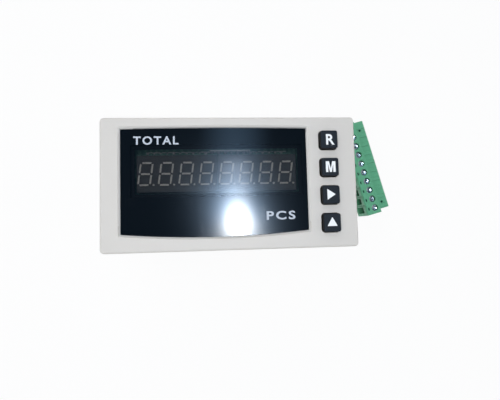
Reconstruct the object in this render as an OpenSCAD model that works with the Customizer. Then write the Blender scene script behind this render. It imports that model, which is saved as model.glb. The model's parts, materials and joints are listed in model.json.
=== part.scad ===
// Panel counter for a 92 x 45 mm panel cut-out, with its pluggable terminal block lying beside it.
// Millimetres. The origin is the middle of the panel seat.
// +X is right and +Y up across the front as it is read, and +Z points out of the panel.

/* [Bezel] */
// Width of the bezel
bezel_w = 96; // [90:1:130]
// Height of the bezel
bezel_h = 50; // [46:1:80]
// How far the bezel stands out in front of the panel
bezel_t = 8; // [7:0.5:14]
// Radius of the bezel's four corners
bezel_corner_r = 2; // [1:0.1:4]
// Rounding of the bezel's front edge
bezel_edge_r = 0.8; // [0.3:0.1:1.6]
// Thickness of the bezel's front plate
plate_t = 4; // [3.6:0.1:5]
// Width of the panel seat at the bezel's left and right
seat_w = 2.5; // [1.5:0.1:4]
// Width of the panel seat at the bezel's top and bottom
seat_h = 2.8; // [1.5:0.1:4]
// Depth of the groove that takes the case's front end
groove_d = 1.5; // [0.5:0.1:2.5]
// Gap round the case in that groove
groove_gap = 0.2; // [0.1:0.05:0.4]

/* [Snap hooks] */
// Length of the hooks behind the panel seat
hook_l = 9; // [7:0.5:12]
// Width of a hook
hook_w = 5; // [3:0.5:6]
// Thickness of a hook
hook_t = 1.6; // [1:0.1:2]
// How far a hook's barb stands out
hook_barb = 0.9; // [0.5:0.1:1.4]
// Length of the barb's ramp
hook_ramp = 2.4; // [1.5:0.1:4]
// Case's inner top and bottom to the middle of the hooks
hook_in = 4.2; // [3.2:0.1:4.7]
// Gap between a hook and the case
hook_gap = 0.2; // [0.1:0.05:0.4]
// Play of a barb in its window in the case
hook_play = 0.05; // [0.02:0.01:0.2]

/* [Window] */
// Bezel's left edge to the window
window_left = 7.2; // [5:0.1:10]
// Bezel's right edge to the window
window_right = 18.9; // [18:0.1:24]
// Bezel's top edge to the window's upper corners
window_top = 4.2; // [3:0.1:8]
// Bezel's bottom edge to the window's lower corners
window_bottom = 6.7; // [4:0.1:9]
// Rise of the window's top edge in the middle
window_bow_top = 0.35; // [0.1:0.05:1]
// Drop of the window's bottom edge in the middle
window_bow_bottom = 1.7; // [0.3:0.1:3]
// Width of the sloping edge round the window
flare_w = 0.7; // [0.3:0.1:1.5]
// Depth of the lens below the bezel's front
lens_recess = 1; // [0.4:0.1:1.5]
// Thickness of the lens
lens_t = 2; // [1:0.1:2.2]
// Width of the ledge that the lens is bonded to
lens_ledge = 1.5; // [0.8:0.1:2.5]
// Gap round the lens
lens_gap = 0.1; // [0.05:0.05:0.3]

/* [Keys] */
// Bezel's right edge to the middle of the keys
key_right = 10.7; // [9.5:0.1:11.2]
// Bezel's top and bottom edges to the field of keys
key_margin = 4; // [3:0.1:6]
// Width of a key
key_w = 6.7; // [5:0.1:7.4]
// Height of a key
key_h = 7; // [5:0.1:7.6]
// Radius of a key's corners
key_corner_r = 1.2; // [0.5:0.1:2.4]
// Rounding of a key's top edge
key_edge_r = 0.7; // [0.3:0.1:1.4]
// How far a key stands out of the bezel
key_proud = 2.5; // [1.5:0.1:4]
// Gap between a key and its opening
key_gap = 0.25; // [0.15:0.05:0.4]
// Width of the flange that keeps a key in
key_flange_w = 0.7; // [0.5:0.1:0.9]
// Thickness of that flange
key_flange_t = 1.2; // [0.6:0.1:1.4]
// Play between the flange and the bezel
key_play = 0.3; // [0.2:0.05:0.5]

/* [Key switches] */
// Side of a switch body
switch_w = 6; // [4.5:0.1:6.5]
// Height of a switch body
switch_h = 3.5; // [3:0.1:4]
// Radius of a switch plunger
plunger_r = 1.7; // [1:0.1:2]
// Depth of a plunger's foot inside the switch body
plunger_foot = 1.2; // [0.8:0.1:1.6]
// Depth of the plunger's well
plunger_well = 2.4; // [2.2:0.1:2.8]
// Gap round a plunger
plunger_gap = 0.1; // [0.05:0.05:0.3]

/* [Display] */
// Window's left edge to the display modules
display_left = 5.4; // [3:0.1:8]
// Window's right edge to the display modules
display_right = 3.7; // [3:0.1:8]
// Window's upper corners to the middle of the digits
display_drop = 16.5; // [12:0.1:22]
// Number of digits in a module
module_digits = 4; // [3:1:5]
// Height of a display module
module_h = 14; // [12:0.1:16]
// Depth of a display module
module_t = 7.2; // [6:0.1:8]
// Gap between the two modules
module_gap = 0.2; // [0.1:0.05:0.4]
// Gap between the lens and the display modules
module_clear = 0.4; // [0.2:0.1:0.6]
// Height of a digit
digit_h = 9.14; // [7:0.01:10.5]
// Room between one digit and the next
digit_gap = 2.4; // [2:0.1:3]
// Forward slant of the digits, in degrees
digit_slant = 8; // [0:1:10]
// Width of a segment
segment_w = 0.8; // [0.5:0.05:1]
// Gap between the tips of two segments
segment_gap = 0.12; // [0.05:0.01:0.2]
// Depth of a segment's diffuser
segment_d = 0.5; // [0.2:0.1:1]
// Radius of a decimal point
point_r = 0.48; // [0.3:0.02:0.55]

/* [Boards] */
// Thickness of the circuit boards
board_t = 1.6; // [1:0.1:2]
// Gap between a board and what guides it
board_gap = 0.25; // [0.1:0.05:0.4]
// Main board's upper face above the case's floor
main_board_rise = 9.2; // [8.8:0.1:10]
// Case's rear face to the main board's rear edge
main_board_end = 6; // [5:0.5:9]
// Length of the link between the two boards
link_l = 25.4; // [15:0.1:40]
// Height and depth of that link
link_t = 2.6; // [2:0.1:4]

/* [Power parts] */
// Width of the transformer's core
core_w = 30; // [26:1:32]
// Height of the transformer's core
core_h = 24; // [20:1:25]
// Depth of the transformer's core
core_d = 13; // [8:1:14]
// Width of the core's middle leg
core_leg = 8; // [6:0.5:9]
// Thickness of the core's outer legs and yokes
core_rim = 4.5; // [3:0.25:5]
// How far the coil stands out of the core
coil_out = 4; // [2:0.5:5]
// Gap between the coil and the core
coil_gap = 0.2; // [0.1:0.05:0.3]
// Thickness of the coil former's two flanges
former_t = 1; // [0.6:0.1:1.4]
// How far those flanges stand out of the winding
former_out = 0.8; // [0.4:0.1:1.2]
// Main board's left edge to the core
core_in = 6.2; // [4:0.1:8]
// Panel seat to the middle of the core
core_back = 34; // [30:1:36]
// Radius of a filter capacitor
capacitor_r = 5; // [3:0.5:5.5]
// Height of a filter capacitor
capacitor_h = 16; // [10:1:20]
// Core to the first filter capacitor
capacitor_gap = 6; // [2:0.5:7]
// Spacing of the filter capacitors
capacitor_pitch = 13; // [11.5:0.5:14]
// Panel seat to the middle of the filter capacitors
capacitor_back = 24; // [18:1:25]
// Height of the groove round a capacitor's foot
crimp_z = 1.8; // [1.2:0.1:3]
// Depth of that groove
crimp_d = 0.5; // [0.2:0.1:0.8]
// Width of the sleeve's lip on a capacitor's top
sleeve_lip = 1; // [0.5:0.1:1.5]
// Thickness of that lip
sleeve_t = 0.3; // [0.1:0.1:0.5]

/* [Output and logic parts] */
// Width of the output relay
relay_w = 19; // [14:0.5:20]
// Height of the output relay
relay_h = 15; // [10:0.5:18]
// Depth of the output relay
relay_d = 15.5; // [10:0.5:16]
// Rounding of the relay's cap
relay_r = 0.8; // [0.3:0.1:1.5]
// Main board's right edge to the relay
relay_in = 9.8; // [9:0.1:12]
// Terminal pins to the relay
relay_gap = 4.2; // [2:0.1:4.5]
// Length of the control chip
chip_w = 14; // [10:0.5:18]
// Height of the control chip
chip_h = 2.2; // [1.6:0.1:3]
// Depth of the control chip
chip_d = 7.4; // [5:0.1:8]
// Main board's left edge to the control chip
chip_in = 16.2; // [10:0.1:20]
// Main board's front edge to the control chip
chip_back = 6; // [4:0.1:6.4]
// Number of leads at each side of the chip
chip_leads = 10; // [6:1:10]
// Width of an input coupler
coupler_w = 6.4; // [5:0.1:7]
// Height of an input coupler
coupler_h = 3.4; // [2.6:0.1:4]
// Depth of an input coupler
coupler_d = 4.6; // [4:0.1:5]
// Middle of the input couplers left of the relay
coupler_in = 9; // [8:0.5:14]
// Spacing of the two input couplers
coupler_pitch = 8; // [7.4:0.1:9]
// Terminal pins to the input couplers
coupler_gap = 6.8; // [4:0.1:8]
// Number of leads at each side of an input coupler
coupler_leads = 2; // [2:1:4]
// Spacing of the leads of chips and couplers
lead_pitch = 1.27; // [1.2:0.01:1.3]
// Width of a lead
lead_w = 0.45; // [0.3:0.05:0.6]
// Thickness of a lead
lead_t = 0.25; // [0.15:0.05:0.4]
// How far a lead stands out of its body
lead_out = 1.3; // [1:0.1:1.6]
// Room between a body and the board
stand_off = 0.2; // [0.1:0.05:0.4]

/* [Case] */
// Depth of the counter behind the panel
case_l = 72; // [66:1:110]
// Thickness of the case's walls
case_wall = 2; // [1.6:0.1:2.4]
// Radius of the case's long edges
case_corner_r = 1.5; // [0.5:0.1:2]
// Width of a vent slot
vent_w = 1.8; // [1:0.1:2.5]
// Length of a vent slot
vent_l = 22; // [8:1:30]
// Spacing of the vent slots
vent_pitch = 6; // [4:0.5:8]
// Number of vent slots in the top and in the bottom
vent_count = 9; // [3:1:10]
// Middle of the vent slots behind the panel seat
vent_back = 36; // [30:1:40]
// Depth of the ribs that guide the main board
rib_d = 2.5; // [1.5:0.1:3]
// Thickness of those ribs
rib_t = 1; // [0.8:0.1:1.2]
// Gap between a rib and the main board
rib_gap = 0.25; // [0.1:0.05:0.4]

/* [Rear cover] */
// Thickness of the rear cover
cover_t = 2.6; // [2.2:0.1:3.5]
// Radius of the screw posts in the case
post_r = 2.9; // [2.7:0.1:3.2]
// Middle of a screw post from the case's inner walls
post_in = 2.6; // [2.3:0.1:2.7]
// Length of a screw post
post_l = 12; // [11:1:20]
// Radius of a cover screw's shank
screw_r = 1.25; // [1:0.05:1.4]
// Radius of a cover screw's head
screw_head_r = 2.6; // [2.2:0.1:2.8]
// Height of a cover screw's head
screw_head_h = 1.5; // [1:0.1:1.8]
// Length of a cover screw
screw_l = 9; // [6:0.5:10]
// Depth of a screw head below the cover
screw_sink = 0.3; // [0.2:0.1:0.5]
// Gap between a screw and its hole
screw_gap = 0.05; // [0.02:0.01:0.1]
// Width of the cross in a cover screw's head
cross_w = 0.6; // [0.4:0.05:0.8]
// Length of that cross
cross_l = 3.1; // [2:0.1:3.4]
// Depth of that cross
cross_d = 0.8; // [0.4:0.1:1]
// Depth of the ribs that locate the cover in the case
locator_d = 2.5; // [1:0.1:4]
// Thickness of those ribs
locator_t = 1; // [0.8:0.1:1.4]
// Gap between those ribs and the case
locator_gap = 0.2; // [0.1:0.05:0.4]
// End of those ribs to the screw posts
locator_end = 5.5; // [1:0.5:10]
// Gap round the socket in the cover
cover_gap = 0.25; // [0.1:0.05:0.4]

/* [Mounting clips] */
// Width of the clip channel's mouth
channel_w = 10.6; // [8:0.2:11]
// Undercut of the channel at each side
channel_undercut = 2; // [1:0.1:2.2]
// Depth of the undercut
channel_d = 2; // [1.6:0.1:2.4]
// Thickness of the lips over the undercut
channel_lip = 1.2; // [1:0.1:1.6]
// Thickness of the wall round the channel
channel_wall = 1.6; // [1.2:0.1:1.8]
// Panel seat to the channel's closed end
channel_front = 10; // [9:0.5:14]
// Spacing of the ratchet teeth in the channel
tooth_pitch = 2; // [1.5:0.1:4]
// Depth of the ratchet teeth
tooth_d = 0.5; // [0.3:0.05:0.8]
// Length of a tooth's slope
tooth_run = 1.6; // [1:0.1:1.9]
// Channel's closed end to the first tooth
tooth_start = 3; // [2:0.5:6]
// Gap between a clip and the case
clip_gap = 0.3; // [0.2:0.05:0.4]
// Length of a clip
clip_l = 28; // [24:1:34]
// Width of a clip
clip_w = 17; // [13:0.5:20]
// Thickness of a clip's bar
clip_t = 3; // [2:0.1:4]
// How far a clip's foot stands out of the case
foot_h = 8; // [5:0.5:10]
// Thickness of a clip's foot
foot_t = 3; // [2:0.1:4]
// Clip's foot behind the panel seat, as stored
clip_rest = 16; // [15:1:25]
// Clip's foot to the front end of its tongue
tongue_back = 10; // [9.5:0.5:13]
// Width of the two slits beside a clip's pawl
slit_w = 1.2; // [0.6:0.1:1.6]
// Length of those slits
slit_l = 14; // [8:0.5:17]
// Middle of the clip to the middle of a slit
slit_y = 3.3; // [2.5:0.1:3.8]

/* [Terminal block] */
// Number of ways
ways = 10; // [6:1:12]
// Spacing of the ways
way_pitch = 5.08; // [5:0.04:5.2]
// Plug's ends to the outer sides of its end ways
plug_end = 0.7; // [0.6:0.1:1]
// Height of the plug
plug_h = 15; // [14:0.5:17]
// Depth of the plug's screw half
block_d = 7.9; // [7.5:0.1:10]
// Wire side of the plug to the middle of its screws
block_wire = 5; // [4.5:0.1:5.5]
// Depth of the plug's mating half
mate_d = 6.9; // [5:0.1:8]
// Height of the plug's mating half
mate_h = 9; // [7.5:0.1:10]
// Underside of the plug to its mating half
mate_z = 2.2; // [1:0.1:3]
// Polarising step at one end of the mating half
mate_step = 1.5; // [1:0.1:2]
// Height of the coding ribs on the mating half
mate_rib_h = 0.5; // [0.3:0.1:0.8]
// Width of a coding rib
mate_rib_w = 1.6; // [1:0.1:2.4]
// Gap between the plug and its socket
mate_gap = 0.25; // [0.15:0.05:0.4]
// Radius of the screw openings
opening_r = 1.8; // [1.7:0.05:2]
// Radius of a terminal screw's head
head_r = 1.6; // [1.4:0.05:1.65]
// Height of a terminal screw's head
head_h = 1.8; // [1.2:0.1:2.2]
// Depth of a terminal screw's head below the plug's top
head_sink = 1.4; // [0.8:0.1:2]
// Radius of a terminal screw's shank
shank_r = 1.2; // [1:0.05:1.25]
// Width of a terminal screw's slot
slot_w = 0.6; // [0.4:0.05:0.8]
// Depth of that slot
slot_d = 0.8; // [0.4:0.1:1]
// Depth of a wire clamp
clamp_d = 4.4; // [4:0.1:4.6]
// Width of a wire clamp
clamp_w = 3.2; // [2.8:0.1:3.6]
// Height of a wire clamp
clamp_h = 6.2; // [5.6:0.1:6.6]
// Thickness of a clamp's walls
clamp_wall = 0.5; // [0.4:0.05:0.6]
// Thickness of a clamp's threaded top
clamp_top = 1.2; // [0.8:0.1:1.6]
// Underside of the plug to the clamps
clamp_z = 2.2; // [1.8:0.1:2.6]
// Gap round the metal parts inside the plug
clamp_gap = 0.15; // [0.1:0.05:0.2]
// Height of a wire opening
entry_h = 4.2; // [3:0.1:4.6]
// Depth of the funnel at a wire opening
funnel_d = 2; // [1:0.1:2.4]
// Rise of the funnel above the wire opening
funnel_rise = 4.6; // [2:0.1:5]
// Side of a contact's socket
contact_w = 2.2; // [2:0.1:2.4]
// Thickness of a contact's sheet
contact_t = 0.5; // [0.3:0.05:0.55]
// Middle of the contacts above the plug's underside
contact_z = 6.2; // [5.8:0.1:6.6]
// Width of the marker slots
marker_w = 0.8; // [0.5:0.1:1.2]
// Length of the marker slots
marker_l = 1.5; // [1:0.1:3]
// Wire side of the plug to the marker slots
marker_in = 1.5; // [1.2:0.1:2]
// Depth of the marker slots and dots
marker_d = 0.5; // [0.3:0.1:1]
// Radius of the two dots at the mating half's ends
dot_r = 0.7; // [0.4:0.1:1]
// Plug's ends to the two dots
dot_in = 5.1; // [3:0.1:8]
// Chamfer along the plug's upper edge at the wire side
plug_chamfer = 0.7; // [0.3:0.1:1]
// Chamfer round the tip of the mating half
mate_chamfer = 0.8; // [0.3:0.1:1.2]
// Depth of the grooves between the wire openings
way_groove_d = 0.5; // [0.2:0.1:0.8]
// Width of those grooves
way_groove_w = 0.7; // [0.4:0.1:1]

/* [Socket] */
// Thickness of the socket's walls
socket_wall = 1.2; // [1:0.1:1.6]
// Depth of the socket's well
socket_d = 8.5; // [7.5:0.1:10]
// Thickness of the socket's base
socket_base = 3.2; // [2:0.1:4]
// Socket's mouth below the rear cover
socket_sink = 0.3; // [0.1:0.1:1]
// Side of a contact pin
pin_w = 1; // [0.8:0.05:1.1]
// Socket's mouth to the tips of the pins
pin_sink = 1.6; // [1:0.1:3]
// How far the pins stand out behind the socket's base
pin_tail = 2; // [1.5:0.1:3]

/* [Place of the loose plug] */
// Middle of the plug's screws across the counter
plug_x = 75.9; // [70:0.1:110]
// Middle of the plug's screws up the counter
plug_y = 14.4; // [-20:0.1:40]
// Turn of the plug, in degrees
plug_turn = 15; // [-20:1:45]

/* [Hidden] */

$fn = 48;
// Facets of a circle that is used for a shallow arc
arc_fn = 1440;
// Overshoot of a cut past the face that it opens
over = 1;
// Overlap of two shapes of one piece
weld = 0.3;

ABS_GREY = [0.82, 0.81, 0.80];
KEY_BLACK = [0.10, 0.105, 0.115];
SMOKED = [0.07, 0.09, 0.12, 0.8];
LED_BLACK = [0.12, 0.12, 0.12];
DIFFUSER = [0.55, 0.54, 0.52];
BOARD_GREEN = [0.10, 0.30, 0.18];
STEEL = [0.70, 0.70, 0.72];
BRASS = [0.78, 0.66, 0.36];
COPPER = [0.72, 0.45, 0.20];
PLUG_GREEN = [0.38, 0.65, 0.52];

// Case and bezel
case_w = bezel_w - 2 * seat_w;
case_h = bezel_h - 2 * seat_h;
inner_w = case_w - 2 * case_wall;
inner_h = case_h - 2 * case_wall;
pocket_d = bezel_t - plate_t;
sleeve_end = cover_t - case_l;
hook_y = inner_h / 2 - hook_in;

// Window
window_x0 = window_left - bezel_w / 2;
window_x1 = bezel_w / 2 - window_right;
window_w = window_x1 - window_x0;
window_x = (window_x0 + window_x1) / 2;
window_y0 = window_bottom - bezel_h / 2;
window_y1 = bezel_h / 2 - window_top;
arc_top_r = arc_radius(window_w, window_bow_top);
arc_bottom_r = arc_radius(window_w, window_bow_bottom);
arc_top_y = window_y1 + window_bow_top - arc_top_r;
arc_bottom_y = window_y0 - window_bow_bottom + arc_bottom_r;
lens_back = bezel_t - lens_recess - lens_t;

// Display and boards
display_x0 = window_x0 + display_left;
digit_pitch = (window_w - display_left - display_right) / (2 * module_digits);
digit_w = digit_pitch - digit_gap;
module_w = module_digits * digit_pitch - module_gap;
display_y = window_y1 - display_drop;
module_front = lens_back - module_clear;
board_front = module_front - module_t;
board_back = board_front - board_t;
board_w = inner_w - 2 * (hook_gap + hook_t + board_gap);
board_h = inner_h - 2 * board_gap;
main_top = main_board_rise - inner_h / 2;
main_front = board_back - board_gap;
main_back = main_board_end - case_l;
main_w = inner_w - 2 * board_gap;

// Keys, counted from the top
key_x = bezel_w / 2 - key_right;
key_pitch = (bezel_h - 2 * key_margin) / 4;
key_foot = pocket_d - key_play - key_flange_t;
switch_top = board_front + switch_h;

// Clips
channel_floor = case_w / 2 - channel_lip - channel_d;
tongue_w = channel_w + 2 * (channel_undercut - clip_gap);
bar_in = case_w / 2 + clip_gap;

// Parts on the main board
core_x = core_in + core_w / 2 - main_w / 2;
relay_x = main_w / 2 - relay_in - relay_w / 2;

// Terminal block
plug_l = ways * way_pitch + 2 * plug_end;
mate_l = plug_l - mate_step;
block_front = block_d - block_wire;
clamp_room_d = clamp_d + 2 * clamp_gap;
clamp_room_w = clamp_w + 2 * clamp_gap;
head_seat = plug_h - head_sink - head_h;
tail_z = clamp_z + clamp_h - clamp_top - contact_t;
socket_well_l = mate_l + 2 * mate_gap;
socket_well_h = mate_h + mate_rib_h + 2 * mate_gap;
socket_l = socket_well_l + 2 * socket_wall;
socket_h = socket_well_h + 2 * socket_wall;
socket_x = mate_step / 2;
socket_mouth = socket_sink - case_l;
socket_front = socket_mouth + socket_d + socket_base;
pin_bend = socket_front + pin_tail;
pin_y = main_top + socket_wall + mate_gap + contact_z - mate_z;

// Radius of an arc from its chord and its rise.
function arc_radius(chord, rise) = chord * chord / (8 * rise) + rise / 2;
// Height of a key by its place from the top.
function key_y(place) = key_pitch * (1.5 - place);
// Place of a way along the terminal block.
function way_at(i) = way_pitch * (i - (ways - 1) / 2);
// A point of a digit, leaned forward.
function slanted(p) = [p[0] + p[1] * tan(digit_slant), p[1]];
// Outline of a segment from one end of its middle line to the other.
function segment(a, b) =
  let (along = (b - a) / norm(b - a), across = [-along[1], along[0]] * segment_w / 2,
       tip = along * segment_gap, shoulder = along * (segment_gap + segment_w / 2))
  [a + tip, a + shoulder + across, b - shoulder + across,
   b - tip, b - shoulder - across, a + shoulder - across];

// A rectangle with round corners, about the origin.
module round_rect(w, h, r) {
  square([w - 2 * r, h], center = true);
  square([w, h - 2 * r], center = true);
  for (x = [-1, 1], y = [-1, 1]) translate([x * (w / 2 - r), y * (h / 2 - r)]) circle(r);
}

// A slot with round ends, along y.
module slot_outline(w, l) {
  square([w, l - w], center = true);
  for (y = [-1, 1]) translate([0, y * (l - w) / 2]) circle(w / 2);
}

// A block's side view, with its two upper corners rounded.
module round_top(w, t, r) {
  translate([-w / 2, 0]) square([w, t - r]);
  translate([r - w / 2, 0]) square([w - 2 * r, t]);
  for (x = [-1, 1]) translate([x * (w / 2 - r), t - r]) circle(r);
}

// A block with round corners and a rounded front edge, standing on z = 0.
module soft_block(w, h, t, corner_r, edge_r) {
  intersection() {
    linear_extrude(t) round_rect(w, h, corner_r);
    rotate([90, 0, 0]) linear_extrude(h + 2 * over, center = true) round_top(w, t, edge_r);
    rotate([90, 0, 90]) linear_extrude(w + 2 * over, center = true) round_top(h, t, edge_r);
  }
}

// A block given by its lowest and highest corners.
module block(low, high) {
  translate(low) cube(high - low);
}

// Outline of the window, made smaller by an inset.
module window_outline(inset) {
  intersection() {
    translate([window_x0 + inset, -bezel_h / 2]) square([window_w - 2 * inset, bezel_h]);
    translate([window_x, arc_top_y]) circle(arc_top_r - inset, $fn = arc_fn);
    translate([window_x, arc_bottom_y]) circle(arc_bottom_r - inset, $fn = arc_fn);
  }
}

// Sloping edge from the lens up to the bezel's front, carried on past the front by the same slope.
module window_flare() {
  rise = lens_recess + over;
  spread = flare_w * rise / lens_recess;
  half = window_w / 2;
  translate([0, 0, bezel_t - lens_recess]) intersection() {
    translate([window_x, 0, 0]) rotate([90, 0, 0]) linear_extrude(bezel_h, center = true)
      polygon([[-half, 0], [half, 0], [half + spread, rise], [-half - spread, rise]]);
    translate([window_x, arc_top_y, 0]) cylinder(rise, arc_top_r, arc_top_r + spread, $fn = arc_fn);
    translate([window_x, arc_bottom_y, 0]) cylinder(rise, arc_bottom_r, arc_bottom_r + spread, $fn = arc_fn);
  }
}

// A snap hook at the right, with its barb outwards.
module hook() {
  inside = inner_w / 2 - hook_gap - hook_t;
  outside = inner_w / 2 - hook_gap;
  barb = hook_ramp - hook_l;
  rotate([90, 0, 0]) linear_extrude(hook_w, center = true)
    polygon([[inside, pocket_d + weld], [inside, -hook_l], [outside, -hook_l],
             [outside + hook_barb, barb], [outside, barb], [outside, pocket_d + weld]]);
}

// Puts its children at the right and, mirrored, at the left.
module both_sides() {
  children();
  mirror([1, 0, 0]) children();
}

module front_bezel() {
  color(ABS_GREY) {
    difference() {
      soft_block(bezel_w, bezel_h, bezel_t, bezel_corner_r, bezel_edge_r);
      translate([0, 0, -over]) linear_extrude(groove_d + over)
        round_rect(case_w + 2 * groove_gap, case_h + 2 * groove_gap, case_corner_r + groove_gap);
      translate([0, 0, -over]) linear_extrude(pocket_d + over) square([inner_w, inner_h], center = true);
      translate([0, 0, lens_back]) linear_extrude(lens_t + weld) window_outline(0);
      translate([0, 0, pocket_d - over]) linear_extrude(plate_t) window_outline(lens_ledge);
      window_flare();
      for (i = [0:3]) translate([key_x, key_y(i), pocket_d - over]) linear_extrude(plate_t + 2 * over)
        round_rect(key_w + 2 * key_gap, key_h + 2 * key_gap, key_corner_r + key_gap);
    }
    both_sides() for (y = [-1, 1]) translate([0, y * hook_y, 0]) hook();
  }
}

module display_window() {
  color(SMOKED) translate([0, 0, lens_back]) linear_extrude(lens_t) window_outline(lens_gap);
}

// A push key with its flange, by its place from the top.
module key(place) {
  color(KEY_BLACK) translate([key_x, key_y(place), key_foot]) {
    soft_block(key_w, key_h, bezel_t + key_proud - key_foot, key_corner_r, key_edge_r);
    linear_extrude(key_flange_t)
      round_rect(key_w + 2 * key_flange_w, key_h + 2 * key_flange_w, key_corner_r);
  }
}

module key_reset() { key(0); }
module key_mode() { key(1); }
module key_shift() { key(2); }
module key_up() { key(3); }

// The plunger of a key's switch, up to the underside of the key.
module plunger(place) {
  color(LED_BLACK) translate([key_x, key_y(place), switch_top - plunger_foot])
    cylinder(key_foot - switch_top + plunger_foot, r = plunger_r);
}

module plunger_reset() { plunger(0); }
module plunger_mode() { plunger(1); }
module plunger_shift() { plunger(2); }
module plunger_up() { plunger(3); }

module switch_bodies() {
  color(LED_BLACK) for (i = [0:3]) translate([key_x, key_y(i), board_front]) difference() {
    linear_extrude(switch_h) square(switch_w, center = true);
    translate([0, 0, switch_h - plunger_well]) cylinder(plunger_well + over, r = plunger_r + plunger_gap);
  }
}

// The seven segments and the decimal point of a digit, about its middle.
module digit_outline() {
  x = (digit_w - segment_w) / 2;
  y = (digit_h - segment_w) / 2;
  lines = [
    [[-x, y], [x, y]], [[-x, 0], [x, 0]], [[-x, -y], [x, -y]],
    [[-x, 0], [-x, y]], [[x, 0], [x, y]], [[-x, -y], [-x, 0]], [[x, -y], [x, 0]]
  ];
  for (line = lines) polygon([for (p = segment(line[0], line[1])) slanted(p)]);
  translate(slanted([digit_pitch / 2 - point_r / 2, -y])) circle(point_r, $fn = 24);
}

// Puts its children at every digit of a module: 0 is the left one and 1 the right one.
module each_digit(side) {
  for (i = [0:module_digits - 1])
    translate([display_x0 + digit_pitch * (side * module_digits + i + 0.5) - point_r, display_y]) children();
}

module led_module(side) {
  x0 = display_x0 + side * (module_digits * digit_pitch) + module_gap / 2;
  color(LED_BLACK) difference() {
    block([x0, display_y - module_h / 2, board_front],
          [x0 + module_w, display_y + module_h / 2, module_front]);
    translate([0, 0, module_front - segment_d]) linear_extrude(segment_d + over) each_digit(side)
      digit_outline();
  }
}

module led_segments(side) {
  color(DIFFUSER) translate([0, 0, module_front - segment_d]) linear_extrude(segment_d) each_digit(side)
    digit_outline();
}

module led_module_left() { led_module(0); }
module led_module_right() { led_module(1); }
module led_segments_left() { led_segments(0); }
module led_segments_right() { led_segments(1); }

module display_board() {
  color(BOARD_GREEN) block([-board_w / 2, -board_h / 2, board_back], [board_w / 2, board_h / 2, board_front]);
}

module board_link() {
  color(LED_BLACK)
    block([-link_l / 2, main_top, board_back - link_t], [link_l / 2, main_top + link_t, board_back]);
}

module main_board() {
  color(BOARD_GREEN) block([-main_w / 2, main_top - board_t, main_back], [main_w / 2, main_top, main_front]);
}

// Puts its children on the main board.
module on_board(x, z) {
  translate([x, main_top, z]) children();
}

module transformer_core() {
  window = (core_w - 2 * core_rim - core_leg) / 2;
  color(STEEL) on_board(core_x, -core_back) difference() {
    block([-core_w / 2, 0, -core_d / 2], [core_w / 2, core_h, core_d / 2]);
    for (x = [-1, 1]) translate([x * (core_leg + window) / 2, core_h / 2, 0])
      cube([window, core_h - 2 * core_rim, core_d + 2 * over], center = true);
  }
}

// The winding between the two flanges of its former, round the core's middle leg.
module transformer_coil() {
  coil_w = core_w - 2 * core_rim - 2 * coil_gap;
  coil_h = core_h - 2 * core_rim - 2 * coil_gap;
  coil_d = core_d + 2 * coil_out;
  flange_y = (coil_h - former_t) / 2;
  color(COPPER) on_board(core_x, -core_back) translate([0, core_h / 2, 0]) difference() {
    union() {
      cube([coil_w - 2 * former_out, coil_h - former_t, coil_d - 2 * former_out], center = true);
      for (y = [-1, 1]) translate([0, y * flange_y, 0]) cube([coil_w, former_t, coil_d], center = true);
    }
    cube([core_leg + 2 * coil_gap, coil_h + 2 * over, core_d + 2 * coil_gap], center = true);
  }
}

// Outline of a capacitor from its axis outwards: a groove at its foot and a lip round its top.
module capacitor_profile() {
  disc_r = capacitor_r - sleeve_lip;
  disc_z = capacitor_h - sleeve_t;
  polygon([[0, 0], [capacitor_r, 0], [capacitor_r, crimp_z - crimp_d], [capacitor_r - crimp_d, crimp_z],
           [capacitor_r, crimp_z + crimp_d], [capacitor_r, disc_z], [capacitor_r - sleeve_t, capacitor_h],
           [disc_r, capacitor_h], [disc_r, disc_z], [0, disc_z]]);
}

module filter_capacitors() {
  first = core_x + core_w / 2 + capacitor_gap + capacitor_r;
  color(KEY_BLACK) for (i = [0, 1]) on_board(first + i * capacitor_pitch, -capacitor_back)
    rotate([-90, 0, 0]) rotate_extrude() capacitor_profile();
}

module output_relay() {
  color(KEY_BLACK) on_board(relay_x, pin_bend + relay_gap + relay_d / 2)
    rotate([-90, 0, 0]) soft_block(relay_w, relay_d, relay_h, relay_r, relay_r);
}

// A chip in the middle of its leads, which bend down from both long sides to the board.
module leaded_body(w, h, d, leads) {
  shoulder = (stand_off + h) / 2;
  bend = lead_out / 2;
  block([-w / 2, stand_off, -d / 2], [w / 2, h, d / 2]);
  for (turn = [0, 180], i = [0:leads - 1]) rotate([0, turn, 0])
    translate([lead_pitch * (i - (leads - 1) / 2), 0, d / 2]) rotate([0, -90, 0])
      linear_extrude(lead_w, center = true)
        polygon([[-weld, shoulder], [bend, shoulder], [bend, lead_t], [lead_out, lead_t], [lead_out, 0],
                 [bend - lead_t, 0], [bend - lead_t, shoulder - lead_t], [-weld, shoulder - lead_t]]);
}

module control_chip() {
  color(LED_BLACK) on_board(chip_in + chip_w / 2 - main_w / 2, main_front - chip_back - chip_d / 2)
    leaded_body(chip_w, chip_h, chip_d, chip_leads);
}

module input_couplers() {
  middle = relay_x - relay_w / 2 - coupler_in;
  color(KEY_BLACK) for (i = [-1, 1])
    on_board(middle + i * coupler_pitch / 2, pin_bend + coupler_gap + coupler_d / 2)
      leaded_body(coupler_w, coupler_h, coupler_d, coupler_leads);
}

module terminal_header() {
  color(PLUG_GREEN) difference() {
    block([socket_x - socket_l / 2, main_top, socket_mouth],
          [socket_x + socket_l / 2, main_top + socket_h, socket_front]);
    block([socket_x - socket_well_l / 2, main_top + socket_wall, socket_mouth - over],
          [socket_x + socket_well_l / 2, main_top + socket_wall + socket_well_h, socket_mouth + socket_d]);
    for (i = [0:ways - 1]) translate([way_at(i), pin_y, socket_front])
      cube([pin_w, pin_w, 2 * socket_base + 2 * over], center = true);
  }
}

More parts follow.
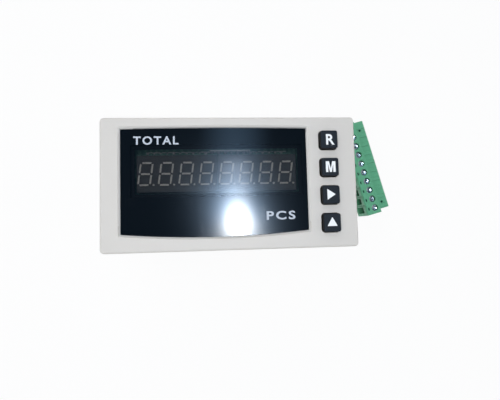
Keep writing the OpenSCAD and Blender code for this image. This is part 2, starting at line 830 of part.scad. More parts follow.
// Angled pins from the socket's well down to the main board.
module header_pins() {
  color(BRASS) for (i = [0:ways - 1]) translate([way_at(i), 0, 0]) {
    block([-pin_w / 2, pin_y - pin_w / 2, socket_mouth + pin_sink], [pin_w / 2, pin_y + pin_w / 2, pin_bend]);
    block([-pin_w / 2, main_top, pin_bend - pin_w], [pin_w / 2, pin_y, pin_bend]);
  }
}

// Section of the clip channel in the case's right side, open outwards.
module channel_section() {
  lip = case_w / 2 - channel_lip;
  translate([channel_floor, -channel_w / 2]) square([case_w / 2 - channel_floor + over, channel_w]);
  translate([channel_floor, -channel_w / 2 - channel_undercut])
    square([lip - channel_floor, channel_w + 2 * channel_undercut]);
}

// The channel's space, from its closed end out through the case's rear.
module channel_space() {
  translate([0, 0, -case_l - over]) linear_extrude(case_l + over - channel_front) channel_section();
}

// Saw teeth cut into the floor of the channel.
module ratchet_teeth() {
  count = floor((case_l - channel_front - cover_t - tooth_start) / tooth_pitch);
  for (i = [0:count - 1]) translate([channel_floor, 0, -channel_front - tooth_start - tooth_pitch * i])
    rotate([90, 0, 0]) linear_extrude(channel_w / 2, center = true)
      polygon([[weld, 0], [-tooth_d, 0], [0, tooth_run], [weld, tooth_run]]);
}

// Puts its children at the four screw posts.
module each_post() {
  for (x = [-1, 1], y = [-1, 1])
    translate([x * (inner_w / 2 - post_in), y * (inner_h / 2 - post_in)]) children();
}

module case_sleeve() {
  length = groove_d - sleeve_end;
  half_wall = channel_w / 2 + channel_undercut + channel_wall;
  color(ABS_GREY) difference() {
    union() {
      translate([0, 0, sleeve_end]) linear_extrude(length) difference() {
        round_rect(case_w, case_h, case_corner_r);
        square([inner_w, inner_h], center = true);
      }
      translate([0, 0, sleeve_end]) linear_extrude(post_l) intersection() {
        each_post() circle(post_r);
        square([inner_w + case_wall, inner_h + case_wall], center = true);
      }
      both_sides() {
        block([channel_floor - channel_wall, -half_wall, sleeve_end],
              [inner_w / 2 + weld, half_wall, channel_wall - channel_front]);
        for (y = [main_top + rib_gap, main_top - board_t - rib_gap - rib_t])
          block([inner_w / 2 - rib_d, y, sleeve_end + post_l],
                [inner_w / 2 + weld, y + rib_t, -channel_front]);
      }
    }
    both_sides() {
      channel_space();
      ratchet_teeth();
      for (y = [-1, 1]) translate([0, y * hook_y, 0])
        block([inner_w / 2 - weld, -hook_w / 2 - hook_gap, -hook_l - hook_gap],
              [case_w / 2 + over, hook_w / 2 + hook_gap, hook_ramp - hook_l + hook_play]);
    }
    for (y = [-1, 1], i = [0:vent_count - 1])
      translate([vent_pitch * (i - (vent_count - 1) / 2), y * (case_h - case_wall) / 2, -vent_back])
        rotate([90, 0, 0]) linear_extrude(case_wall + 2 * over, center = true) slot_outline(vent_w, vent_l);
    each_post() translate([0, 0, sleeve_end - over])
      cylinder(post_l + over - case_wall, r = screw_r + screw_gap);
  }
}

// A countersunk screw's outline, from its axis outwards, grown by a gap and lengthened at the head.
module screw_profile(gap, above) {
  polygon([[0, -above], [screw_head_r + gap, -above], [screw_head_r + gap, 0],
           [screw_r + gap, screw_head_h], [screw_r + gap, screw_l], [0, screw_l]]);
}

module rear_cover() {
  locator_y = inner_h / 2 - locator_gap - locator_t;
  locator_l = inner_w - 2 * (post_in + post_r + locator_end);
  color(ABS_GREY) {
    difference() {
      translate([0, 0, -case_l]) linear_extrude(cover_t) round_rect(case_w, case_h, case_corner_r);
      both_sides() channel_space();
      block([socket_x - socket_l / 2 - cover_gap, main_top - cover_gap, -case_l - over],
            [socket_x + socket_l / 2 + cover_gap, main_top + socket_h + cover_gap, sleeve_end + over]);
      each_post() translate([0, 0, screw_sink - case_l])
        rotate_extrude() screw_profile(screw_gap, screw_sink + over);
    }
    for (y = [locator_y, -locator_y - locator_t])
      block([-locator_l / 2, y, sleeve_end - weld], [locator_l / 2, y + locator_t, sleeve_end + locator_d]);
  }
}

module cover_screws() {
  color(STEEL) each_post() translate([0, 0, screw_sink - case_l]) difference() {
    rotate_extrude() screw_profile(0, 0);
    for (turn = [0, 90]) rotate(turn) cube([cross_w, cross_l, 2 * cross_d], center = true);
  }
}

// A mounting clip at the right: a tongue in the channel, a bar along the case and a foot towards the panel.
module clip() {
  front = -clip_rest;
  back = front - clip_l;
  tongue_front = front - tongue_back;
  bar_out = bar_in + clip_t;
  foot_out = case_w / 2 + foot_h;
  tongue_in = channel_floor + clip_gap;
  tongue_out = case_w / 2 - channel_lip - clip_gap;
  neck_w = channel_w - 2 * clip_gap;
  color(KEY_BLACK) difference() {
    union() {
      block([tongue_in, -tongue_w / 2, back], [tongue_out, tongue_w / 2, tongue_front]);
      block([tongue_in, -neck_w / 2, back], [bar_in + weld, neck_w / 2, tongue_front]);
      rotate([90, 0, 0]) linear_extrude(clip_w, center = true)
        polygon([[bar_in, back], [bar_in, front], [foot_out, front], [foot_out, front - foot_t],
                 [bar_out + foot_t, front - foot_t], [bar_out, front - 2 * foot_t],
                 [bar_out, back + 2 * foot_t], [bar_out + foot_t, back + foot_t / 2],
                 [bar_out + foot_t, back]]);
    }
    for (y = [-1, 1]) translate([bar_in - over, y * slit_y - slit_w / 2, back - over])
      cube([clip_t + foot_t + 2 * over, slit_w, slit_l + over]);
  }
}

module clip_right() { clip(); }
module clip_left() { mirror([1, 0, 0]) clip(); }

// The loose plug's frame: x from the wires to the mating half, y along the ways, z up from the surface.
module plug_frame() {
  translate([plug_x, plug_y, -case_l]) rotate(plug_turn) children();
}

// Puts its children at every way of the plug.
module each_way() {
  for (i = [0:ways - 1]) translate([0, way_at(i), 0]) children();
}

// Side view of the plug's screw half, with the chamfer along its upper wire edge.
module block_profile() {
  polygon([[-block_wire, 0], [block_front, 0], [block_front, plug_h], [plug_chamfer - block_wire, plug_h],
           [-block_wire, plug_h - plug_chamfer]]);
}

// Side view of the funnel that leads a wire into its opening.
module funnel_profile() {
  low = clamp_z - clamp_gap;
  top = clamp_z + entry_h;
  inner = funnel_d - block_wire;
  polygon([[-block_wire - over, low], [inner, low], [inner, top], [-block_wire, top + funnel_rise],
           [-block_wire - over, top + funnel_rise]]);
}

// Side view of the plug's mating half, with a chamfered tip.
module mate_profile() {
  tip = block_front + mate_d;
  top = mate_z + mate_h;
  polygon([[block_front - weld, mate_z], [tip - mate_chamfer, mate_z], [tip, mate_z + mate_chamfer],
           [tip, top - mate_chamfer], [tip - mate_chamfer, top], [block_front - weld, top]]);
}

// Turns a side view into a length of the plug, from one place along the ways to another.
module along_ways(from, to) {
  translate([0, to, 0]) rotate([90, 0, 0]) linear_extrude(to - from) children();
}

module plug_body() {
  mate_top = mate_z + mate_h;
  room_x0 = -clamp_room_d / 2;
  room_top = clamp_z + clamp_h + clamp_gap;
  tunnel = contact_w + 2 * clamp_gap;
  color(PLUG_GREEN) plug_frame() difference() {
    union() {
      along_ways(-plug_l / 2, plug_l / 2) block_profile();
      along_ways(mate_step - plug_l / 2, plug_l / 2) mate_profile();
      each_way() block([block_front - weld, -mate_rib_w / 2, mate_top - weld],
                       [block_front + mate_d - mate_chamfer, mate_rib_w / 2, mate_top + mate_rib_h]);
    }
    each_way() {
      translate([0, 0, head_seat - clamp_gap]) cylinder(plug_h, r = opening_r);
      translate([0, 0, room_top - weld]) cylinder(plug_h - room_top, r = shank_r + clamp_gap);
      block([room_x0, -clamp_room_w / 2, clamp_z - clamp_gap], [-room_x0, clamp_room_w / 2, room_top]);
      block([-block_wire - over, -clamp_room_w / 2, clamp_z - clamp_gap],
            [0, clamp_room_w / 2, clamp_z + entry_h]);
      along_ways(-clamp_room_w / 2, clamp_room_w / 2) funnel_profile();
      translate([block_front + mate_d / 2, 0, contact_z])
        cube([mate_d + block_d, tunnel, tunnel], center = true);
      translate([marker_in - block_wire, 0, plug_h]) cube([marker_w, marker_l, 2 * marker_d], center = true);
    }
    for (i = [1:ways - 1]) translate([-block_wire, way_at(i - 0.5), plug_h / 2])
      cube([2 * way_groove_d, way_groove_w, plug_h + 2 * over], center = true);
    for (y = [-1, 1]) translate([block_front + mate_d / 2, y * (plug_l / 2 - dot_in), mate_top - marker_d])
      cylinder(marker_d + over, r = dot_r);
  }
}

module plug_screws() {
  color(STEEL) plug_frame() each_way() translate([0, 0, head_seat]) difference() {
    union() {
      cylinder(head_h, r = head_r);
      translate([0, 0, tail_z + contact_t + screw_gap - head_seat])
        cylinder(head_seat - tail_z - contact_t - screw_gap + weld, r = shank_r);
    }
    translate([0, 0, head_h]) cube([slot_w, 2 * head_r + over, 2 * slot_d], center = true);
  }
}

// Rising wire clamps: a frame open towards the wire, with a threaded top.
module plug_clamps() {
  window = [clamp_d + 2 * over, clamp_w - 2 * clamp_wall, clamp_h - clamp_wall - clamp_top];
  color(STEEL) plug_frame() each_way() translate([0, 0, clamp_z]) difference() {
    translate([-clamp_d / 2, -clamp_w / 2, 0]) cube([clamp_d, clamp_w, clamp_h]);
    translate([-window[0] / 2, -window[1] / 2, clamp_wall]) cube(window);
    translate([0, 0, clamp_h - clamp_top - over]) cylinder(clamp_top + 2 * over, r = shank_r + screw_gap);
  }
}

// Contacts: a square socket in the mating half and a tail under each screw.
module plug_contacts() {
  tip = block_front + mate_d - contact_t;
  root = clamp_room_d / 2;
  tail_w = clamp_w - 2 * clamp_wall - 2 * clamp_gap;
  bore = contact_w - 2 * contact_t;
  color(BRASS) plug_frame() each_way() {
    difference() {
      block([root, -contact_w / 2, contact_z - contact_w / 2],
            [tip, contact_w / 2, contact_z + contact_w / 2]);
      translate([tip, 0, contact_z]) cube([2 * (tip - root - contact_t), bore, bore], center = true);
    }
    block([-root, -tail_w / 2, tail_z], [root + contact_t, tail_w / 2, tail_z + contact_t]);
  }
}

front_bezel();
display_window();
key_reset();
key_mode();
key_shift();
key_up();
plunger_reset();
plunger_mode();
plunger_shift();
plunger_up();
switch_bodies();
led_module_left();
led_module_right();
led_segments_left();
led_segments_right();
display_board();
board_link();
main_board();
transformer_core();
transformer_coil();
filter_capacitors();
output_relay();
control_chip();
input_couplers();
terminal_header();
header_pins();
case_sleeve();
rear_cover();
cover_screws();
clip_left();
clip_right();
plug_body();
plug_screws();
plug_clamps();
plug_contacts();
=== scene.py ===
"""Dresses a panel counter: finishes, fine edges, print and a small studio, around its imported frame.

The counter stands on its back, with its front upwards and its terminal plug lying beside it. Lengths are
metres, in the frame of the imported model: +X right and +Y up across the front, +Z out of the panel.
"""

from __future__ import annotations

import json
import logging
import math
from dataclasses import dataclass, field
from enum import Enum
from typing import Any, Callable, Iterable, Mapping, Sequence, Union

import bmesh
import bpy
from mathutils import Matrix, Vector

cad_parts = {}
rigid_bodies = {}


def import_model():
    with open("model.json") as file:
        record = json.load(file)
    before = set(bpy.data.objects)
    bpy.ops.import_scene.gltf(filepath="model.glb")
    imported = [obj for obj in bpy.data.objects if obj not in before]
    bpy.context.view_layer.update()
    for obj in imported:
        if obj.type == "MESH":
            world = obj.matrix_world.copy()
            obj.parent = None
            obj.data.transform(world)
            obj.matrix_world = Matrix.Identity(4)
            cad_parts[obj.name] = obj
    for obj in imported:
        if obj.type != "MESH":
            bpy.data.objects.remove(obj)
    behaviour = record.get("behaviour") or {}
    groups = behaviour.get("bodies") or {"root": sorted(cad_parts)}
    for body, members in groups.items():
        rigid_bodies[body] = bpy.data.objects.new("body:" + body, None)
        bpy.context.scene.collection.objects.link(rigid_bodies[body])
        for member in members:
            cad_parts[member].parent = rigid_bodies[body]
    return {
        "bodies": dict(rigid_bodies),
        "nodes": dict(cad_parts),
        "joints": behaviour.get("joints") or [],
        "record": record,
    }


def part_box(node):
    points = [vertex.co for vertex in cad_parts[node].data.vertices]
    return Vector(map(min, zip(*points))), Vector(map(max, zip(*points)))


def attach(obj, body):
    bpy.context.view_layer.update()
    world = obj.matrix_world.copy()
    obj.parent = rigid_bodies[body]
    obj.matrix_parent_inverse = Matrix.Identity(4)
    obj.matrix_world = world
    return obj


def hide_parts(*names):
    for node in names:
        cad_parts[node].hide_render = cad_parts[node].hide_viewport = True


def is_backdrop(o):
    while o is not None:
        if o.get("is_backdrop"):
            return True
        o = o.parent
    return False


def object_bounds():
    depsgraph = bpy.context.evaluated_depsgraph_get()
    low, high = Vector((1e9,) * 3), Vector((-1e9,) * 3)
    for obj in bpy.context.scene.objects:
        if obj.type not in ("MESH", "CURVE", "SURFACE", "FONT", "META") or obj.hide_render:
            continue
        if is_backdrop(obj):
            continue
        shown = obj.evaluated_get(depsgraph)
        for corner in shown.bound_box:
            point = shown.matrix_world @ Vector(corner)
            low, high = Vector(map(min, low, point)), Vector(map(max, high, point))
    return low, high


LOG = logging.getLogger("panel_counter")
MM = 0.001
MERGE_DISTANCE = 0.001 * MM
SHARP_ANGLE = math.radians(28)
FLAT_FACE_WEIGHT = 50
EDGE_SAMPLES = 6
LETTER_DEPTH = 0.5
LETTER_STEPS = 4
# Shares of a bar's radius, each with its distance from the bar's end in radii.
BAR_END = ((0.35, 0.0), (0.85, 0.85), (1.0, 2.0))
POINT_DIGITS = 6
# Places of a Mix node's colour sockets and of a Random Value node's number sockets.
MIX_FIRST = 6
MIX_SECOND = 7
MIX_RESULT = 2
RANDOM_LEAST = 2
RANDOM_MOST = 3
RANDOM_RESULT = 1
STORED_NORMALS = "custom_normal"

Colour = tuple[float, float, float]
Triple = tuple[float, float, float]
Point = tuple[float, float]
Span = tuple[float, float]
Size = tuple[float, float]
Number = Union["Value", float]
Build = Callable[[bmesh.types.BMesh], None]


class Body(Enum):
    """The bodies of the frame that new pieces ride on."""

    HOUSING = "housing"
    RESET_KEY = "reset_key"
    MODE_KEY = "mode_key"
    SHIFT_KEY = "shift_key"
    UP_KEY = "up_key"
    LEFT_CLIP = "left_clip"
    RIGHT_CLIP = "right_clip"


class Axis(Enum):
    """The three axes of the frame."""

    X = 0
    Y = 1
    Z = 2


class Value:
    """A node's socket that takes part in Python expressions, where each operator adds a Math node."""

    def __init__(self, graph: Graph, socket: bpy.types.NodeSocket) -> None:
        """Keeps an output socket and the graph that new nodes go into."""
        self.graph = graph
        self.socket = socket

    def __add__(self, other: Number) -> Value:
        """Adds a number or a value."""
        return self.graph.maths("ADD", self, other)

    def __radd__(self, other: Number) -> Value:
        """Adds to a number."""
        return self.graph.maths("ADD", other, self)

    def __sub__(self, other: Number) -> Value:
        """Takes a number or a value away."""
        return self.graph.maths("SUBTRACT", self, other)

    def __rsub__(self, other: Number) -> Value:
        """Takes this value away from a number."""
        return self.graph.maths("SUBTRACT", other, self)

    def __mul__(self, other: Number) -> Value:
        """Multiplies by a number or a value."""
        return self.graph.maths("MULTIPLY", self, other)

    def __rmul__(self, other: Number) -> Value:
        """Multiplies a number by this value."""
        return self.graph.maths("MULTIPLY", other, self)

    def size(self) -> Value:
        """Is this value without its sign."""
        return self.graph.maths("ABSOLUTE", self, 0.0)

    def root(self) -> Value:
        """Is the square root of this value."""
        return self.graph.maths("SQRT", self, 0.0)

    def fading(self, start: float, length: float) -> Value:
        """Is 1 where this value is at the start, and falls to about a third with each length after it."""
        return self.graph.maths("EXPONENT", (start - self) * (1 / length), 0.0)

    def swing(self, spread: float) -> Value:
        """Turns a pattern from 0 to 1 into one about 0, with the spread between its ends."""
        return (self - 0.5) * spread

    def largest(self, other: Number) -> Value:
        """Is the larger of the two values."""
        return self.graph.maths("MAXIMUM", self, other)

    def eased(self, low: float, high: float) -> Value:
        """Rises smoothly from 0 to 1 while this value goes from one number to another.

        Args:
            low: The value at which the result is 0.
            high: The value at which the result is 1.

        Returns:
            The eased value.
        """
        settings = {"interpolation_type": "SMOOTHSTEP"}
        inputs = {"Value": self, "From Min": low, "From Max": high}
        return self.graph.out(self.graph.node("ShaderNodeMapRange", settings, inputs), "Result")


class Graph:
    """The nodes of a material, of the world or of a geometry tree."""

    def __init__(self, tree: bpy.types.NodeTree) -> None:
        """Keeps the node tree to fill, and empties it."""
        self.tree = tree
        self.tree.nodes.clear()

    @classmethod
    def of_material(cls, name: str) -> Graph:
        """Makes a material and the graph of its nodes.

        Args:
            name: The material's name.

        Returns:
            The empty graph.
        """
        material = bpy.data.materials.new(name)
        material.use_nodes = True
        return cls(material.node_tree)

    def node(
        self,
        kind: str,
        settings: Mapping[str, Any] | None = None,
        inputs: Mapping[str | int, Any] | None = None,
    ) -> bpy.types.Node:
        """Adds a node.

        Args:
            kind: The node's type.
            settings: Its own settings, which are set first.
            inputs: A number, a colour or a linked value for each socket, by name or by place.

        Returns:
            The new node.
        """
        node = self.tree.nodes.new(kind)
        for name, setting in (settings or {}).items():
            setattr(node, name, setting)
        for key, given in (inputs or {}).items():
            if isinstance(given, Value):
                self.tree.links.new(given.socket, node.inputs[key])
            else:
                node.inputs[key].default_value = given
        return node

    def out(self, node: bpy.types.Node, key: str | int = 0) -> Value:
        """Gives one of a node's outputs as a value."""
        return Value(self, node.outputs[key])

    def maths(self, operation: str, first: Number, second: Number) -> Value:
        """Adds a Math node for two numbers or values."""
        return self.out(self.node("ShaderNodeMath", {"operation": operation}, {0: first, 1: second}))

    def place(self) -> Value:
        """Gives the point of the surface, in the frame's own coordinates."""
        return self.out(self.node("ShaderNodeTexCoord"), "Object")

    def parts_of(self, vector: Value) -> tuple[Value, Value, Value]:
        """Splits a vector into its three parts."""
        split = self.node("ShaderNodeSeparateXYZ", None, {0: vector})
        return self.out(split, 0), self.out(split, 1), self.out(split, 2)

    def seen(self) -> Value:
        """Tells what the camera sees from what only lights a surface.

        Returns:
            1 for what is seen, also mirrored or through a clear part, and 0 for the rest.
        """
        path = self.node("ShaderNodeLightPath")
        rays = [self.out(path, f"Is {ray} Ray") for ray in ("Camera", "Glossy", "Transmission")]
        return rays[0].largest(rays[1]).largest(rays[2])

    def noise(self, size: float, detail: float = 2.0, stretch: Sequence[float] = (1, 1, 1)) -> Value:
        """Gives a soft random pattern from 0 to 1.

        Args:
            size: Length of one ripple of the pattern.
            detail: How many finer layers lie over it.
            stretch: How much denser the pattern is along each axis.

        Returns:
            The pattern's value.
        """
        spread = self.node("ShaderNodeVectorMath", {"operation": "MULTIPLY"}, {0: self.place(), 1: stretch})
        inputs = {"Vector": self.out(spread), "Scale": 1 / size, "Detail": detail}
        return self.out(self.node("ShaderNodeTexNoise", None, inputs), 0)

    def stripes(self, along: Value, pitch: float) -> Value:
        """Gives a wave from 0 to 1 over a distance, with a pitch of one stripe and one gap."""
        wave = self.node("ShaderNodeMath", {"operation": "SINE"}, {0: along * (2 * math.pi / pitch)})
        return self.out(wave) * 0.5 + 0.5

    def blend(self, factor: Value, first: Value | Colour, second: Value | Colour) -> Value:
        """Mixes two colours.

        Args:
            factor: 0 for the first colour and 1 for the second.
            first: A colour or a linked colour.
            second: A colour or a linked colour.

        Returns:
            The mixed colour.
        """
        ends = [c if isinstance(c, Value) else (*c, 1.0) for c in (first, second)]
        inputs = {0: factor, MIX_FIRST: ends[0], MIX_SECOND: ends[1]}
        return self.out(self.node("ShaderNodeMix", {"data_type": "RGBA"}, inputs), MIX_RESULT)

    def lit(self, colour: Value, amount: Value, tint: Colour) -> Value:
        """Adds light of one tint to a colour.

        Args:
            colour: The colour so far.
            amount: How much of the tint is added.
            tint: The colour of the added light.

        Returns:
            The brighter colour.
        """
        added = self.node("ShaderNodeVectorMath", {"operation": "SCALE"}, {0: tint, "Scale": amount})
        inputs = {0: colour, 1: self.out(added)}
        return self.out(self.node("ShaderNodeVectorMath", {"operation": "ADD"}, inputs))

    def relief(self, height: Value, depth: float, edge: float = 0.0) -> Value:
        """Turns a height into a bumped normal, on edges that look slightly rounded.

        Args:
            height: The height, from 0 to 1.
            depth: The depth of the relief.
            edge: The radius of the edges, or 0 for sharp ones.

        Returns:
            The normal.
        """
        inputs: dict[str, Any] = {"Height": height, "Distance": depth}
        if edge:
            rounded = self.node("ShaderNodeBevel", {"samples": EDGE_SAMPLES}, {"Radius": edge})
            inputs["Normal"] = self.out(rounded)
        return self.out(self.node("ShaderNodeBump", None, inputs))

    def surface(self, inputs: Mapping[str, Any]) -> Value:
        """Adds the main surface shader, with its sockets set or linked."""
        return self.out(self.node("ShaderNodeBsdfPrincipled", None, inputs))

    def finish(self, shader: Value, kind: str = "ShaderNodeOutputMaterial") -> None:
        """Links a shader to the tree's output."""
        self.node(kind, None, {"Surface": shader})


def scaled(colour: Colour, share: float) -> Colour:
    """Makes a colour darker or lighter by a share."""
    return tuple(min(1.0, c * share) for c in colour)


@dataclass(frozen=True)
class MouldedPlastic:
    """A moulded plastic with a fine grain and a slightly uneven colour."""

    colour: Colour
    roughness: float
    grain: float = 0.3 * MM
    depth: float = 0.02 * MM
    uneven: float = 0.04
    patch: float = 9 * MM
    patch_share: float = 0.7
    shine: float = 0.5
    edge: float = 0.2 * MM
    grain_spread: float = 0.12
    patch_spread: float = 0.08

    def paint(self, graph: Graph) -> None:
        """Builds the finish in a material's graph.

        Args:
            graph: The material's graph.
        """
        patches = graph.noise(self.patch, detail=3.0)
        grain = graph.noise(self.grain, detail=1.0)
        inputs = {
            "Base Color": self.tone(graph, patches * self.patch_share + grain * (1 - self.patch_share)),
            "Roughness": self.roughness + grain.swing(self.grain_spread) + patches.swing(self.patch_spread),
            "Specular IOR Level": self.shine,
            "Normal": graph.relief(grain, self.depth, self.edge),
        }
        graph.finish(graph.surface(inputs))

    def tone(self, graph: Graph, pattern: Value) -> Value:
        """Gives the colour at each point, for an unevenness from 0 to 1."""
        darker, lighter = (scaled(self.colour, 1 + change) for change in (-self.uneven, self.uneven))
        return graph.blend(pattern, darker, lighter)


@dataclass(frozen=True)
class Zone:
    """A part of a surface painted another colour, here as painted light or shade: inside a rectangle and
    below a height.
    """

    colour: Colour
    low: Point
    high: Point
    top: float


@dataclass(frozen=True)
class ZonedPlastic(MouldedPlastic):
    """A moulded plastic with zones of another colour, which paint light and shade onto it."""

    zones: tuple[Zone, ...] = ()
    fade: float = 0.1 * MM

    def tone(self, graph: Graph, pattern: Value) -> Value:
        """Gives the colour at each point, blended into the painted light and shade of the zones.

        Args:
            graph: The material's graph.
            pattern: The unevenness, from 0 to 1.

        Returns:
            The colour.
        """
        x, y, z = graph.parts_of(graph.place())
        colour = super().tone(graph, pattern)
        for zone in self.zones:
            inside = z.eased(zone.top, zone.top - self.fade)
            for value, low, high in zip((x, y), zone.low, zone.high):
                inside = inside * value.eased(low - self.fade, low) * value.eased(high + self.fade, high)
            colour = graph.blend(inside, colour, zone.colour)
        return colour


@dataclass(frozen=True)
class SmokedAcrylic:
    """A polished dark sheet with faint smears, see-through where its cover is less than 1."""

    colour: Colour
    cover: float
    ior: float
    roughness: float
    smear: float = 7 * MM
    smear_stretch: Triple = (1.0, 0.45, 1.0)
    smear_edge: Span = (0.45, 0.8)
    smear_spread: float = 0.07

    def paint(self, graph: Graph) -> None:
        """Builds the finish in a material's graph.

        Args:
            graph: The material's graph.
        """
        smears = graph.noise(self.smear, detail=4.0, stretch=self.smear_stretch)
        inputs = {
            "Base Color": (*self.colour, 1.0),
            "Alpha": self.cover,
            "IOR": self.ior,
            "Roughness": self.roughness + smears.eased(*self.smear_edge) * self.smear_spread,
        }
        graph.finish(graph.surface(inputs))


@dataclass(frozen=True)
class PrintedInk:
    """A thin layer of screen-printed ink, with a faint mesh in it."""

    colour: Colour
    roughness: float
    shine: float = 0.5
    mesh: float = 0.12 * MM
    mesh_share: float = 0.6
    mesh_spread: float = 0.08
    blotch: float = 1.5 * MM
    thin: float = 0.92

    def paint(self, graph: Graph) -> None:
        """Builds the finish in a material's graph.

        Args:
            graph: The material's graph.
        """
        x, y, _ = graph.parts_of(graph.place())
        weave = graph.stripes(x, self.mesh) * graph.stripes(y, self.mesh)
        pattern = weave * self.mesh_share + graph.noise(self.blotch) * (1 - self.mesh_share)
        inputs = {
            "Base Color": graph.blend(pattern, scaled(self.colour, self.thin), self.colour),
            "Roughness": self.roughness + weave * self.mesh_spread,
            "Specular IOR Level": self.shine,
        }
        graph.finish(graph.surface(inputs))


@dataclass(frozen=True)
class MilkyDiffuser:
    """A translucent filled resin, as in the segments of a display."""

    colour: Colour
    roughness: float
    cloud: float = 0.9 * MM
    cloud_spread: float = 0.1
    dull: float = 0.82
    milk: float = 0.25
    milk_depth: Triple = (0.4 * MM, 0.4 * MM, 0.35 * MM)

    def paint(self, graph: Graph) -> None:
        """Builds the finish in a material's graph.

        Args:
            graph: The material's graph.
        """
        clouds = graph.noise(self.cloud, detail=3.0)
        inputs = {
            "Base Color": graph.blend(clouds, scaled(self.colour, self.dull), self.colour),
            "Roughness": self.roughness + clouds.swing(self.cloud_spread),
            "Subsurface Weight": self.milk,
            "Subsurface Radius": self.milk_depth,
            "Subsurface Scale": 1.0,
        }
        graph.finish(graph.surface(inputs))


@dataclass(frozen=True)
class CircuitBoard:
    """Solder resist over copper tracks, which show as lighter lines with a low relief."""

    resist: Colour
    track: Colour
    roughness: float = 0.28
    pitch: float = 2.54 * MM
    track_edge: Span = (0.62, 0.7)
    bend: float = 14 * MM
    bend_reach: float = 8 * MM
    bus_pitches: int = 3
    bus_edge: Span = (0.9, 0.95)
    area: float = 22 * MM
    area_edge: Span = (0.38, 0.42)
    grain: float = 0.4 * MM
    grain_spread: float = 0.14
    depth: float = 0.035 * MM

    def paint(self, graph: Graph) -> None:
        """Builds the finish in a material's graph.

        Args:
            graph: The material's graph.
        """
        x, y, z = graph.parts_of(graph.place())
        bends = graph.noise(self.bend, detail=0.0).swing(self.bend_reach)
        across = graph.stripes(x + bends, self.pitch).eased(*self.track_edge)
        along = graph.stripes(y + z, self.pitch * self.bus_pitches).eased(*self.bus_edge)
        tracks = across.largest(along) * graph.noise(self.area, detail=0.0).eased(*self.area_edge)
        inputs = {
            "Base Color": graph.blend(tracks, self.resist, self.track),
            "Roughness": self.roughness + graph.noise(self.grain) * self.grain_spread,
            "Normal": graph.relief(tracks, self.depth),
        }
        graph.finish(graph.surface(inputs))


@dataclass(frozen=True)
class PlatedMetal:
    """Plated metal with fine tool marks and a little dulling."""

    colour: Colour
    roughness: float
    mark: float = 0.15 * MM
    mark_depth: float = 0.01 * MM
    mark_spread: float = 0.1
    stretch: Triple = (1.0, 1.0, 1.0)
    stain: float = 2.5 * MM
    stain_edge: Span = (0.45, 0.75)
    stain_spread: float = 0.15
    dull: float = 0.2
    edge: float = 0.08 * MM

    def paint(self, graph: Graph) -> None:
        """Builds the finish in a material's graph.

        Args:
            graph: The material's graph.
        """
        marks = graph.noise(self.mark, stretch=self.stretch)
        stains = graph.noise(self.stain, detail=3.0).eased(*self.stain_edge)
        inputs = {
            "Base Color": graph.blend(stains, self.colour, scaled(self.colour, 1 - self.dull)),
            "Metallic": 1.0,
            "Roughness": self.roughness + stains * self.stain_spread + marks.swing(self.mark_spread),
            "Normal": graph.relief(marks, self.mark_depth, self.edge),
        }
        graph.finish(graph.surface(inputs))


@dataclass(frozen=True)
class LayeredStack:
    """A stack of thin sheets or turns, seen as fine lines along one axis."""

    colour: Colour
    gap_colour: Colour
    axis: Axis
    pitch: float
    metallic: float
    roughness: float
    gap_edge: Span = (0.1, 0.4)
    depth: float = 0.05 * MM
    wear: float = 3 * MM
    wear_edge: Span = (0.5, 0.8)
    wear_cover: float = 0.5
    wear_spread: float = 0.2

    def paint(self, graph: Graph) -> None:
        """Builds the finish in a material's graph.

        Args:
            graph: The material's graph.
        """
        along = graph.parts_of(graph.place())[self.axis.value]
        layers = graph.stripes(along, self.pitch)
        wear = graph.noise(self.wear, detail=4.0).eased(*self.wear_edge)
        clean = layers.eased(*self.gap_edge) * (1 - wear * self.wear_cover)
        inputs = {
            "Base Color": graph.blend(clean, self.gap_colour, self.colour),
            "Metallic": self.metallic,
            "Roughness": self.roughness + wear * self.wear_spread,
            "Normal": graph.relief(layers, self.depth),
        }
        graph.finish(graph.surface(inputs))


@dataclass(frozen=True)
class StudioFloor:
    """A pale floor that looks white to the camera and in reflections, and keeps a faint shadow."""

    colour: Colour
    glow: float
    near: float = 0.25
    far: float = 0.7
    roughness: float = 0.9
    paper: float = 30 * MM
    paper_shade: float = 0.985

    def paint(self, graph: Graph) -> None:
        """Builds the finish in a material's graph.

        Args:
            graph: The material's graph.
        """
        paper = graph.noise(self.paper, detail=3.0)
        tone = graph.blend(paper, scaled(self.colour, self.paper_shade), self.colour)
        matt = graph.surface({"Base Color": tone, "Roughness": self.roughness})
        white = graph.out(graph.node("ShaderNodeEmission", None, {"Color": (1, 1, 1, 1), "Strength": 1.0}))
        x, y, _ = graph.parts_of(graph.place())
        away = (x * x + y * y).root().eased(self.near, self.far)
        share = self.glow + away * (1 - self.glow)
        mixed = graph.node("ShaderNodeMixShader", None, {0: graph.seen() * share, 1: matt, 2: white})
        graph.finish(graph.out(mixed))


WINDOW_HIGH = (29.9 * MM, 21.95 * MM)
KEYS_LOW = (33.4 * MM, -22.0 * MM)
KEYS_HIGH = (41.2 * MM, 22.0 * MM)
# Painted highlight: the upper part of the window's sloping edge is painted lighter, on all sides but the
# bottom.
PAINTED_RIM_HIGHLIGHT = Zone((0.75, 0.73, 0.70), (-41.6 * MM, -15.0 * MM), WINDOW_HIGH, 7.98 * MM)
# Painted light: the lower part of the window's sloping edge is painted a paler, cooler grey than the bezel.
PAINTED_SLOPE_LIGHT = Zone((0.64, 0.63, 0.61), (-41.6 * MM, -20.8 * MM), WINDOW_HIGH, 7.62 * MM)
# Painted shade: the inner part of the window's upper sloping edge is painted dark grey.
PAINTED_UPPER_SLOPE_SHADE = Zone((0.38, 0.38, 0.38), (-36.0 * MM, 19.5 * MM), WINDOW_HIGH, 7.4 * MM)
# Painted shade: the walls of the key openings in the bezel are painted nearly black.
PAINTED_KEY_GAP_SHADE = Zone((0.03, 0.03, 0.03), KEYS_LOW, KEYS_HIGH, 7.98 * MM)
